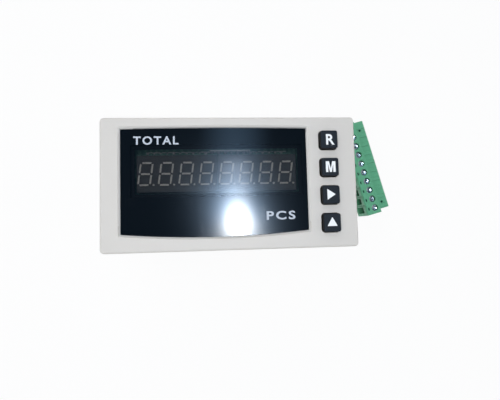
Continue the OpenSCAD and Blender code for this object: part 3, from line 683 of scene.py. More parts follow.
# Painted shade: the keys' sides, below their tops, are painted darker than the tops.
PAINTED_KEY_SIDE_SHADE = Zone((0.002, 0.002, 0.002), KEYS_LOW, KEYS_HIGH, 10.3 * MM)


class Finish(Enum):
    """The finishes of the counter and of the floor, each with the record's slot that it belongs to."""

    # The bezel carries painted light and shade round the window and painted shade in the key openings.
    BEZEL = (
        "bezel_plastic",
        ZonedPlastic(
            (0.606, 0.578, 0.543),
            roughness=0.42,
            uneven=0.025,
            zones=(PAINTED_RIM_HIGHLIGHT, PAINTED_SLOPE_LIGHT, PAINTED_UPPER_SLOPE_SHADE, PAINTED_KEY_GAP_SHADE),
        ),
    )
    CASE = (
        "case_plastic",
        MouldedPlastic((0.575, 0.553, 0.526), roughness=0.5, grain=0.45 * MM, depth=0.035 * MM),
    )
    WINDOW = ("window_plastic", SmokedAcrylic((0.002, 0.003, 0.005), cover=0.38, ior=2.0, roughness=0.03))
    FILM = ("window_plastic", SmokedAcrylic((0.003, 0.0042, 0.006), cover=1.0, ior=1.519, roughness=0.03))
    MASK = ("window_plastic", PrintedInk((0.006, 0.008, 0.011), roughness=0.6, shine=0.1))
    PRINT = ("window_plastic", PrintedInk((0.50, 0.545, 0.62), roughness=0.5))
    LEGEND = ("key_rubber", PrintedInk((0.86, 0.88, 0.90), roughness=0.5))
    # The keys carry painted shade on their sides.
    KEY = (
        "key_rubber",
        ZonedPlastic(
            (0.020, 0.025, 0.032),
            roughness=0.40,
            grain=0.2 * MM,
            uneven=0.12,
            shine=0.05,
            zones=(PAINTED_KEY_SIDE_SHADE,),
            fade=0.2 * MM,
        ),
    )
    SWITCH = ("switch_plastic", MouldedPlastic((0.030, 0.030, 0.030), roughness=0.5))
    LED_FACE = (
        "led_plastic",
        MouldedPlastic((0.085, 0.083, 0.081), roughness=0.38, grain=0.5 * MM, uneven=0.15),
    )
    SEGMENT = ("led_diffuser", MilkyDiffuser((0.98, 0.92, 0.84), roughness=0.42))
    BOARD = ("board_laminate", CircuitBoard((0.150, 0.320, 0.270), track=(0.210, 0.420, 0.340)))
    BOARD_PRINT = ("board_laminate", PrintedInk((0.80, 0.86, 0.84), roughness=0.5))
    CORE = (
        "core_steel",
        LayeredStack((0.40, 0.40, 0.41), (0.08, 0.07, 0.06), Axis.Z, 0.5 * MM, metallic=0.9, roughness=0.42),
    )
    COIL = (
        "coil_tape",
        LayeredStack((0.62, 0.42, 0.07), (0.30, 0.18, 0.03), Axis.Y, 1.6 * MM, metallic=0.0, roughness=0.28),
    )
    PART = ("part_plastic", MouldedPlastic((0.022, 0.022, 0.024), roughness=0.32, uneven=0.1))
    TERMINAL = (
        "terminal_plastic",
        MouldedPlastic((0.128, 0.402, 0.234), roughness=0.38, grain=0.6 * MM, uneven=0.07, shine=0.15),
    )
    CONTACT = ("contact_metal", PlatedMetal((0.74, 0.69, 0.58), roughness=0.26))
    SOLDER = ("contact_metal", MouldedPlastic((0.84, 0.86, 0.87), roughness=0.3, grain=0.4 * MM, shine=0.9))
    # Painted shade: a dark green sheet laid in the plug's recesses, darker than the plastic.
    INLAY = ("terminal_plastic", PrintedInk((0.012, 0.070, 0.042), roughness=0.6, shine=0.2))
    SCREW = ("screw_steel", PlatedMetal((0.40, 0.45, 0.46), roughness=0.24, stretch=(1.0, 6.0, 1.0)))
    CLIP = (
        "clip_plastic",
        MouldedPlastic((0.020, 0.020, 0.021), roughness=0.45, grain=0.35 * MM, uneven=0.1),
    )
    FLOOR = ("", StudioFloor((0.88, 0.88, 0.88), glow=0.92))

    @property
    def slot(self) -> str:
        """The record's material slot."""
        return self.value[0]

    def material(self) -> bpy.types.Material:
        """Gives this finish's material, built when it is first asked for.

        Returns:
            The material.
        """
        name = f"{self.name.lower()}_finish"
        found = bpy.data.materials.get(name)
        if found is None:
            self.value[1].paint(Graph.of_material(name))
            found = bpy.data.materials[name]
        return found


def add_object(name: str, data: bpy.types.ID) -> bpy.types.Object:
    """Puts a mesh, a curve, a lamp or a camera into the scene as an object at the origin.

    Args:
        name: The object's name.
        data: What it shows. A mesh has its place in its vertices.

    Returns:
        The new object.
    """
    made = bpy.data.objects.new(name, data)
    bpy.context.scene.collection.objects.link(made)
    return made


def coat(mesh: bpy.types.Mesh, finish: Finish) -> None:
    """Gives a mesh one finish, in place of any that it has."""
    mesh.materials.clear()
    mesh.materials.append(finish.material())


def baked_mesh(source: bpy.types.Object) -> bpy.types.Mesh:
    """Turns an object and its modifiers into a plain mesh.

    Args:
        source: The object.

    Returns:
        The new mesh.
    """
    bpy.context.view_layer.update()
    graph = bpy.context.evaluated_depsgraph_get()
    return bpy.data.meshes.new_from_object(source.evaluated_get(graph), depsgraph=graph)


def mesh_from(name: str, build: Build) -> bpy.types.Mesh:
    """Makes a mesh with a function that fills it.

    Args:
        name: The mesh's name.
        build: Adds the faces.

    Returns:
        The mesh, with its faces pointing outwards.
    """
    shape = bmesh.new()
    build(shape)
    bmesh.ops.recalc_face_normals(shape, faces=shape.faces)
    mesh = bpy.data.meshes.new(name)
    shape.to_mesh(mesh)
    shape.free()
    return mesh


def merged(source: bpy.types.Mesh) -> bmesh.types.BMesh:
    """Copies a CAD mesh, with its loose triangles joined.

    Args:
        source: The CAD mesh.

    Returns:
        The joined copy.
    """
    shape = bmesh.new()
    shape.from_mesh(source)
    bmesh.ops.remove_doubles(shape, verts=shape.verts, dist=MERGE_DISTANCE)
    return shape


def solids_of(shape: bmesh.types.BMesh) -> list[list[bmesh.types.BMVert]]:
    """Sorts a mesh's vertices into its separate solids.

    Args:
        shape: The mesh.

    Returns:
        The vertices of each solid.
    """
    found: list[list[bmesh.types.BMVert]] = []
    seen: set[bmesh.types.BMVert] = set()
    for start in shape.verts:
        if start in seen:
            continue
        solid, todo = [], [start]
        seen.add(start)
        while todo:
            vert = todo.pop()
            solid.append(vert)
            for edge in vert.link_edges:
                other = edge.other_vert(vert)
                if other not in seen:
                    seen.add(other)
                    todo.append(other)
        found.append(solid)
    return found


def middle_of(points: Iterable[Vector]) -> Vector:
    """Finds the middle of the box round some points.

    Args:
        points: The points.

    Returns:
        The middle.
    """
    listed = list(points)
    low = Vector([min(p[i] for p in listed) for i in range(3)])
    high = Vector([max(p[i] for p in listed) for i in range(3)])
    return (low + high) / 2


def smoothed(name: str, shape: bmesh.types.BMesh) -> bpy.types.Mesh:
    """Shades a shape smoothly over its curves, with its flat faces kept flat and its edges crisp.

    Args:
        name: The mesh's name.
        shape: The shape, which is freed.

    Returns:
        The finished mesh.
    """
    mesh = bpy.data.meshes.new(name)
    shape.to_mesh(mesh)
    shape.free()
    stored = mesh.attributes.get(STORED_NORMALS)
    if stored:
        mesh.attributes.remove(stored)
    mesh.shade_smooth()
    mesh.set_sharp_from_angle(angle=SHARP_ANGLE)
    holder = add_object(f"{name}_holder", mesh)
    flat = holder.modifiers.new("flat_faces", "WEIGHTED_NORMAL")
    flat.mode = "FACE_AREA"
    flat.weight = FLAT_FACE_WEIGHT
    flat.keep_sharp = True
    finished = baked_mesh(holder)
    bpy.data.objects.remove(holder)
    finished.name = name
    return finished


def dished(shape: bmesh.types.BMesh, depth: float, cuts: int = 10) -> None:
    """Turns the flat top of a round head about the Z axis into a shallow dish.

    Args:
        shape: The shape to change.
        depth: How much lower the middle is than the rim.
        cuts: Strips that the head is cut into each way, so that it can bend.
    """
    radius = max(math.hypot(v.co.x, v.co.y) for v in shape.verts)
    top = max(v.co.z for v in shape.verts)
    for axis in (Axis.X, Axis.Y):
        across = Vector([float(i == axis.value) for i in range(3)])
        for step in range(1, cuts):
            whole = [*shape.verts, *shape.edges, *shape.faces]
            place = across * radius * (2 * step / cuts - 1)
            bmesh.ops.bisect_plane(shape, geom=whole, dist=MERGE_DISTANCE, plane_co=place, plane_no=across)
    for vert in shape.verts:
        if vert.co.z > top - MERGE_DISTANCE:
            out = (vert.co.x**2 + vert.co.y**2) / radius**2
            vert.co.z += depth * (out - 1)


@dataclass(frozen=True)
class Variety:
    """How the copies of a part differ: the largest turn about Z, the largest share in size, and the seed."""

    most_turn: float = 0.0
    spread: float = 0.0
    seed: int = 1


class RepeatTree:
    """A Geometry Nodes tree that sets a part on every point of a mesh, each with its own turn and size."""

    INPUTS = (
        ("Points", "NodeSocketGeometry"),
        ("Part", "NodeSocketObject"),
        ("Most turn", "NodeSocketFloat"),
        ("Size spread", "NodeSocketFloat"),
        ("Seed", "NodeSocketInt"),
        ("Finish", "NodeSocketMaterial"),
    )

    def __init__(self, name: str) -> None:
        """Builds the tree.

        Args:
            name: The tree's name.
        """
        self.tree = bpy.data.node_groups.new(name, "GeometryNodeTree")
        self.sockets: dict[str, str] = {}
        for label, kind in self.INPUTS:
            made = self.tree.interface.new_socket(label, in_out="INPUT", socket_type=kind)
            self.sockets[label] = made.identifier
        self.tree.interface.new_socket("Geometry", in_out="OUTPUT", socket_type="NodeSocketGeometry")
        self._wire(Graph(self.tree))

    def _wire(self, graph: Graph) -> None:
        """Adds the nodes from the inputs to the output.

        Args:
            graph: The tree's graph.
        """
        group = graph.node("NodeGroupInput")
        points, part, most_turn, spread, seed, finish = (graph.out(group, label) for label, _ in self.INPUTS)
        source = graph.node("GeometryNodeObjectInfo", {"transform_space": "ORIGINAL"}, {"Object": part})
        about_z = graph.node("ShaderNodeCombineXYZ", None, {"Z": self._draw(graph, seed, 0.0, most_turn)})
        rotation = graph.node("FunctionNodeEulerToRotation", None, {0: graph.out(about_z)})
        inputs = {
            "Points": points,
            "Instance": graph.out(source, "Geometry"),
            "Rotation": graph.out(rotation),
            "Scale": self._draw(graph, seed, 1 - spread, 1 + spread),
        }
        placed = graph.out(graph.node("GeometryNodeInstanceOnPoints", None, inputs))
        whole = graph.out(graph.node("GeometryNodeRealizeInstances", None, {0: placed}))
        finished = graph.node("GeometryNodeSetMaterial", None, {"Geometry": whole, "Material": finish})
        graph.node("NodeGroupOutput", None, {0: graph.out(finished)})

    def _draw(self, graph: Graph, seed: Value, least: Number, most: Number) -> Value:
        """Draws a random number for each point, between the least and the most."""
        inputs = {RANDOM_LEAST: least, RANDOM_MOST: most, "Seed": seed}
        return graph.out(graph.node("FunctionNodeRandomValue", {"data_type": "FLOAT"}, inputs), RANDOM_RESULT)

    def grow(
        self,
        name: str,
        part: bpy.types.Mesh,
        points: Sequence[Vector],
        finish: Finish,
        variety: Variety,
    ) -> bpy.types.Mesh:
        """Sets a part on each point and turns the result into a plain mesh.

        Args:
            name: The result's name.
            part: The part's mesh, about the origin.
            points: The places of the copies.
            finish: The finish of all copies.
            variety: How the copies differ.

        Returns:
            One mesh with all copies.
        """
        cloud = bpy.data.meshes.new(f"{name}_points")
        cloud.from_pydata([tuple(p) for p in points], [], [])
        holder = add_object(f"{name}_holder", cloud)
        sample = add_object(f"{name}_sample", part)
        modifier = holder.modifiers.new("repeat", "NODES")
        modifier.node_group = self.tree
        for label, setting in (
            ("Part", sample),
            ("Most turn", variety.most_turn),
            ("Size spread", variety.spread),
            ("Seed", variety.seed),
            ("Finish", finish.material()),
        ):
            modifier[self.sockets[label]] = setting
        result = baked_mesh(holder)
        holder.modifiers.remove(modifier)
        bpy.data.objects.remove(holder)
        bpy.data.objects.remove(sample)
        result.name = name
        return result


@dataclass
class SubAssembly:
    """A group of pieces that is built and dressed together."""

    frame: dict[str, Any]

    def body_of(self, node: str) -> str:
        """Gives the body that a CAD node belongs to."""
        bodies = self.frame["record"]["behaviour"]["bodies"]
        return next(body for body, nodes in bodies.items() if node in nodes)

    def shape_of(self, node: str) -> bmesh.types.BMesh:
        """Copies a CAD node's shape, merged."""
        return merged(self.frame["nodes"][node].data)

    def dress(self, node: str, finish: Finish) -> None:
        """Gives a CAD node its finish."""
        coat(self.frame["nodes"][node].data, finish)
        LOG.info("dressed %s", node)

    def add(
        self, name: str, mesh: bpy.types.Mesh, finish: Finish, body: str = Body.HOUSING.value
    ) -> bpy.types.Object:
        """Adds a new piece that rides on a body.

        Args:
            name: The piece's name.
            mesh: Its mesh, in place.
            finish: Its finish.
            body: The body's name.

        Returns:
            The piece.
        """
        coat(mesh, finish)
        piece = add_object(name, mesh)
        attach(piece, body)
        LOG.info("built %s on %s", name, body)
        return piece

    def stand_in(self, node: str, mesh: bpy.types.Mesh, finish: Finish) -> None:
        """Replaces a CAD node by a new piece on the same body."""
        piece = self.add(f"{node}_finished", mesh, finish, self.body_of(node))
        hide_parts(node)

    def refine(self, node: str, finish: Finish, change: Build | None = None) -> None:
        """Replaces a CAD node by a smoothly shaded copy.

        Args:
            node: The node's name.
            finish: The copy's finish.
            change: Changes the copy's shape before it is shaded.
        """
        shape = self.shape_of(node)
        if change:
            change(shape)
        self.stand_in(node, smoothed(f"{node}_mesh", shape), finish)


@dataclass
class RepeatingAssembly(SubAssembly):
    """A group of pieces, some of them made of many copies of one part."""

    tree: RepeatTree

    def scatter(
        self,
        name: str,
        part: bpy.types.Mesh,
        places: Sequence[Vector],
        finish: Finish,
        body: Body = Body.HOUSING,
        variety: Variety = Variety(),
    ) -> None:
        """Adds a piece made of copies of a part, one at each place."""
        mesh = self.tree.grow(f"{name}_mesh", part, places, finish, variety)
        self.add(name, mesh, finish, body.value)

    def renew_screws(self, node: str, dish: float, variety: Variety) -> None:
        """Replaces a CAD node of like screws by copies of its first one, each turned by itself.

        Args:
            node: The node's name.
            dish: Depth of the dish in each head, or 0 for a flat head.
            variety: How the copies differ.
        """
        shape = self.shape_of(node)
        solids = solids_of(shape)
        middles = [middle_of(v.co for v in solid) for solid in solids]
        bmesh.ops.delete(shape, geom=[v for solid in solids[1:] for v in solid], context="VERTS")
        bmesh.ops.translate(shape, verts=shape.verts, vec=-middles[0])
        if dish:
            dished(shape, dish)
        part = smoothed(f"{node}_part", shape)
        mesh = self.tree.grow(f"{node}_mesh", part, middles, Finish.SCREW, variety)
        self.stand_in(node, mesh, Finish.SCREW)


def lettering(
    name: str,
    words: str,
    low: Point,
    high: Point,
    base: float,
    thickness: float,
    bold: float = 0.024,
    spacing: float = 1.25,
) -> bpy.types.Mesh:
    """Makes flat bold letters that fill a rectangle.

    Args:
        name: The mesh's name.
        words: The letters.
        low: The rectangle's lower left corner.
        high: The rectangle's upper right corner.
        base: The height of the surface that they are printed on.
        thickness: The thickness of the print.
        bold: How much the strokes grow on each side, in letter sizes.
        spacing: The share by which the letters stand apart.

    Returns:
        The letters as a mesh, in place.
    """
    curve = bpy.data.curves.new(name, "FONT")
    curve.body = words
    curve.size = 1.0
    curve.offset = bold
    curve.extrude = LETTER_DEPTH
    curve.space_character = spacing
    curve.resolution_u = LETTER_STEPS
    holder = add_object(f"{name}_holder", curve)
    mesh = baked_mesh(holder)
    bpy.data.objects.remove(holder)
    points = [v.co for v in mesh.vertices]
    found = [(min(p[i] for p in points), max(p[i] for p in points)) for i in range(3)]
    target = ((low[0], high[0]), (low[1], high[1]), (base, base + thickness))
    scale = [(t[1] - t[0]) / (f[1] - f[0]) for t, f in zip(target, found)]
    shift = [t[0] - f[0] * s for t, f, s in zip(target, found, scale)]
    mesh.transform(Matrix.Translation(shift) @ Matrix.Diagonal((*scale, 1.0)))
    shape = merged(mesh)
    shape.to_mesh(mesh)
    shape.free()
    mesh.name = name
    return mesh


def thickened(shape: bmesh.types.BMesh, faces: Sequence[bmesh.types.BMFace], thickness: float) -> None:
    """Gives flat faces a thickness, upwards.

    Args:
        shape: The mesh that they belong to.
        faces: The faces, which become the underside.
        thickness: The thickness.
    """
    grown = bmesh.ops.extrude_face_region(shape, geom=faces, use_keep_orig=True)
    raised = [v for v in grown["geom"] if isinstance(v, bmesh.types.BMVert)]
    bmesh.ops.translate(shape, verts=raised, vec=(0, 0, thickness))


def ring(shape: bmesh.types.BMesh, outline: Sequence[Point], height: float) -> list[bmesh.types.BMVert]:
    """Adds an outline's points to a mesh at a height."""
    return [shape.verts.new((x, y, height)) for x, y in outline]


def bridged(shape: bmesh.types.BMesh, rings: Sequence[list[bmesh.types.BMVert]]) -> None:
    """Adds the faces between each ring of points and the next.

    Args:
        shape: The mesh to add them to.
        rings: The rings, in order.
    """
    for low, high in zip(rings, rings[1:]):
        for i in range(len(low)):
            shape.faces.new((low[i - 1], low[i], high[i], high[i - 1]))


def flat_prism(outline: Sequence[Point], base: float, thickness: float) -> Build:
    """Gives a function that adds a flat shape with a thickness.

    Args:
        outline: The corners, in order.
        base: The height of its underside.
        thickness: Its thickness.

    Returns:
        The function that fills a mesh.
    """

    def build(shape: bmesh.types.BMesh) -> None:
        """Adds the flat face and extrudes it."""
        thickened(shape, [shape.faces.new(ring(shape, outline, base))], thickness)

    return build


def rectangle(low: Point, high: Point) -> list[Point]:
    """Gives the corners of a rectangle, in order from the lowest one."""
    return [low, (high[0], low[1]), high, (low[0], high[1])]


def about_origin(size: Size) -> list[Point]:
    """Gives the corners of a rectangle with its middle at the origin, in order from the lowest one."""
    half_w, half_h = (side / 2 for side in size)
    return rectangle((-half_w, -half_h), (half_w, half_h))


def circle(radius: float, sides: int = 16) -> list[Point]:
    """Gives points on a circle round the origin, in order."""
    turns = [math.tau * i / sides for i in range(sides)]
    return [(radius * math.cos(t), radius * math.sin(t)) for t in turns]


def turned_part(name: str, profile: Sequence[Point]) -> bpy.types.Mesh:
    """Makes a round solid about the Z axis, shaded smoothly.

    Args:
        name: The mesh's name.
        profile: Radius and height of each ring, from one end to the other.

    Returns:
        The mesh, closed at both ends.
    """

    def build(shape: bmesh.types.BMesh) -> None:
        """Adds the rings, the faces between them and the ends.

        Args:
            shape: The mesh to add them to.
        """
        rings = [ring(shape, circle(radius), height) for radius, height in profile]
        bridged(shape, rings)
        shape.faces.new(rings[0])
        shape.faces.new(rings[-1])

    mesh = mesh_from(name, build)
    mesh.shade_smooth()
    mesh.set_sharp_from_angle(angle=SHARP_ANGLE)
    return mesh


def round_bar(name: str, radius: float, length: float, about: Axis) -> bpy.types.Mesh:
    """Makes a round bar with tapered ends, its middle at the origin.

    Args:
        name: The mesh's name.
        radius: The bar's radius.
        length: Its length.
        about: The axis that it is turned about: X for a bar along Y, or Y for a bar along X.

    Returns:
        The bar's mesh.
    """
    taper = [(share * radius, length / 2 - back * radius) for share, back in BAR_END]
    mesh = turned_part(name, [*((r, -z) for r, z in taper), *reversed(taper)])
    mesh.transform(Matrix.Rotation(math.pi / 2, 4, about.name))
    return mesh


def rounded_corners(corners: Sequence[Point], radius: float, steps: int = 4) -> list[Point]:
    """Rounds the corners of an outline.

    Args:
        corners: The sharp corners, in order.
        radius: Distance from a corner at which its rounding starts.
        steps: Points on each rounding, less one.

    Returns:
        The rounded outline.
    """
    outline: list[Point] = []
    for i, corner in enumerate(corners):
        here = Vector(corner)
        before = (Vector(corners[i - 1]) - here).normalized() * radius + here
        after = (Vector(corners[(i + 1) % len(corners)]) - here).normalized() * radius + here
        for step in range(steps + 1):
            t = step / steps
            point = before * (1 - t) ** 2 + here * (2 * t * (1 - t)) + after * t**2
            outline.append((point.x, point.y))
    return outline


@dataclass
class FrontBezel(SubAssembly):
    """The light grey frame of the front."""

    def build(self) -> None:
        """Replaces the frame by a smoothly shaded copy."""
        self.refine("front_bezel", Finish.BEZEL)


@dataclass
class DisplayWindow(SubAssembly):
    """The smoked lens, the black print behind it, the black film on it and the words."""

    mask_inset: float = 0.12 * MM
    mask_lift: float = 0.03 * MM
    mask_thickness: float = 0.04 * MM
    rim_thickness: float = 0.06 * MM
    rim_drop: float = 0.08 * MM
    clear_low: Point = (-35.9 * MM, -3.45 * MM)
    clear_high: Point = (25.95 * MM, 13.5 * MM)
    film_thickness: float = 0.02 * MM
    film_margin: float = 1.3 * MM
    print_thickness: float = 0.02 * MM
    word_low: Point = (-36.0 * MM, 14.9 * MM)
    word_high: Point = (-19.4 * MM, 18.1 * MM)
    unit_low: Point = (13.0 * MM, -14.1 * MM)
    unit_high: Point = (24.0 * MM, -10.8 * MM)

    def build(self) -> None:
        """Builds the lens, the print behind it, the film on it and the words."""
        self.refine("display_window", Finish.WINDOW)
        self.add("display_mask", mesh_from("display_mask_mesh", self._mask), Finish.MASK)
        self.add("front_film", mesh_from("front_film_mesh", self._film), Finish.FILM)
        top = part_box("display_window")[1].z + self.film_thickness
        for name, words, low, high in (
            ("word_total", "TOTAL", self.word_low, self.word_high),
            ("word_unit", "PCS", self.unit_low, self.unit_high),
        ):
            mesh = lettering(f"{name}_mesh", words, low, high, top, self.print_thickness)
            self.add(name, mesh, Finish.PRINT)

    def _outline(self, inset: float) -> list[Point]:
        """Gives the lens's outline, made smaller.

        Args:
            inset: How much smaller it is on each side.

        Returns:
            The outline's points, in order round its middle.
        """
        low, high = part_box("display_window")
        middle = (low + high) / 2
        mesh = self.frame["nodes"]["display_window"].data
        upper = [v.co for v in mesh.vertices if v.co.z > middle.z]
        corners = {(round(p.x, POINT_DIGITS), round(p.y, POINT_DIGITS)) for p in upper}
        ordered = sorted(corners, key=lambda p: math.atan2(p[1] - middle.y, p[0] - middle.x))
        share = [1 - 2 * inset / (high[i] - low[i]) for i in range(2)]
        return [tuple(middle[i] + (p[i] - middle[i]) * share[i] for i in range(2)) for p in ordered]

    def _sheet(self, shape: bmesh.types.BMesh, base: float, thickness: float, margin: float) -> None:
        """Adds a sheet with the lens's outline and a rectangular hole at the clear part.

        Args:
            shape: The mesh to add it to.
            base: The height of its underside.
            thickness: Its thickness.
            margin: How much larger the hole is than the clear part, on each side.
        """
        low = tuple(side - margin for side in self.clear_low)
        high = tuple(side + margin for side in self.clear_high)
        rims = []
        for outline in (self._outline(self.mask_inset), rectangle(low, high)):
            verts = ring(shape, outline, base)
            rims += [shape.edges.new((verts[i - 1], verts[i])) for i in range(len(verts))]
        bmesh.ops.triangle_fill(shape, use_beauty=True, use_dissolve=False, edges=rims, normal=(0, 0, 1))
        thickened(shape, shape.faces[:], thickness)

    def _film(self, shape: bmesh.types.BMesh) -> None:
        """Adds the film on the lens, with a hole that leaves the edge of the print behind it in view."""
        self._sheet(shape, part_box("display_window")[1].z, self.film_thickness, self.film_margin)

    def _mask(self, shape: bmesh.types.BMesh) -> None:
        """Adds the printed sheet with its rectangular clear area, and the black edge round it.

        Args:
            shape: The mesh to add them to.
        """
        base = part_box("display_window")[0].z + self.mask_lift
        self._sheet(shape, base, self.mask_thickness, 0.0)
        self._rim(shape, base + self.mask_thickness)

    def _rim(self, shape: bmesh.types.BMesh, base: float) -> None:
        """Adds the black edge that stands on the sheet, up to just under the lens's face.

        Args:
            shape: The mesh to add it to.
            base: The height that it starts at.
        """
        levels = (base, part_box("display_window")[1].z - self.rim_drop)
        rings = []
        for inset in (self.mask_inset, self.mask_inset + self.rim_thickness):
            outline = self._outline(inset)
            rings += [ring(shape, outline, z) for z in levels]
        outer_low, outer_high, inner_low, inner_high = rings
        bridged(shape, (outer_low, outer_high, inner_high, inner_low, outer_low))


@dataclass
class KeyColumn(SubAssembly):
    """The four push keys, their printed legends and the switches under them."""

    print_thickness: float = 0.02 * MM
    letter_r: Size = (3.25 * MM, 4.05 * MM)
    letter_m: Size = (3.72 * MM, 4.1 * MM)
    arrow_right: Size = (3.15 * MM, 4.15 * MM)
    arrow_up: Size = (3.86 * MM, 3.38 * MM)
    arrow_corner: float = 0.22 * MM
    shift_r: Point = (0.37 * MM, -0.07 * MM)
    shift_m: Point = (0.12 * MM, 0.03 * MM)
    shift_arrow_right: Point = (0.01 * MM, 0.08 * MM)
    shift_arrow_up: Point = (-0.06 * MM, 0.40 * MM)
    m_leg: float = 0.24
    m_notch: float = 0.74
    m_foot: float = 0.42
    m_shoulder: float = 1.4
    m_valley: float = 0.32

    def build(self) -> None:
        """Builds the keys, their legends and the switches."""
        for name, body in (
            ("reset", Body.RESET_KEY),
            ("mode", Body.MODE_KEY),
            ("shift", Body.SHIFT_KEY),
            ("up", Body.UP_KEY),
        ):
            self.refine(f"key_{name}", Finish.KEY)
            self.dress(f"plunger_{name}", Finish.SWITCH)
            self.add(f"legend_{name}", self._legend(name), Finish.LEGEND, body.value)
        self.dress("switch_bodies", Finish.SWITCH)

    def _legend(self, name: str) -> bpy.types.Mesh:
        """Makes the legend of a key.

        Args:
            name: The key's name.

        Returns:
            The legend's mesh, on the key's top.
        """
        low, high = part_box(f"key_{name}")
        middle = (low + high) / 2
        (w, h), shift = {
            "reset": (self.letter_r, self.shift_r),
            "mode": (self.letter_m, self.shift_m),
            "shift": (self.arrow_right, self.shift_arrow_right),
            "up": (self.arrow_up, self.shift_arrow_up),
        }[name]
        x0, y0 = middle.x + shift[0] - w / 2, middle.y + shift[1] - h / 2
        x1, y1 = x0 + w, y0 + h
        title = f"legend_{name}_mesh"
        if name == "reset":
            return lettering(title, "R", (x0, y0), (x1, y1), high.z, self.print_thickness)
        if name == "mode":
            outline = [(x0 + u * w, y0 + v * h) for u, v in self._m_shape()]
        elif name == "shift":
            outline = rounded_corners([(x0, y0), (x1, (y0 + y1) / 2), (x0, y1)], self.arrow_corner)
        else:
            outline = rounded_corners([(x0, y0), (x1, y0), ((x0 + x1) / 2, y1)], self.arrow_corner)
        return mesh_from(title, flat_prism(outline, high.z, self.print_thickness))

    def _m_shape(self) -> list[Point]:
        """Draws a plain bold M in a unit square.

        Returns:
            The outline's points, in order.
        """
        leg, shoulder = self.m_leg, self.m_leg * self.m_shoulder
        feet = [(0.0, 0.0), (leg, 0.0), (leg, self.m_notch), (0.5 - leg * self.m_foot, 0.0)]
        mirrored = [(1 - u, v) for u, v in reversed(feet)]
        head = [(1.0, 1.0), (1 - shoulder, 1.0), (0.5, self.m_valley), (shoulder, 1.0), (0.0, 1.0)]
        return [*feet, *mirrored, *head]


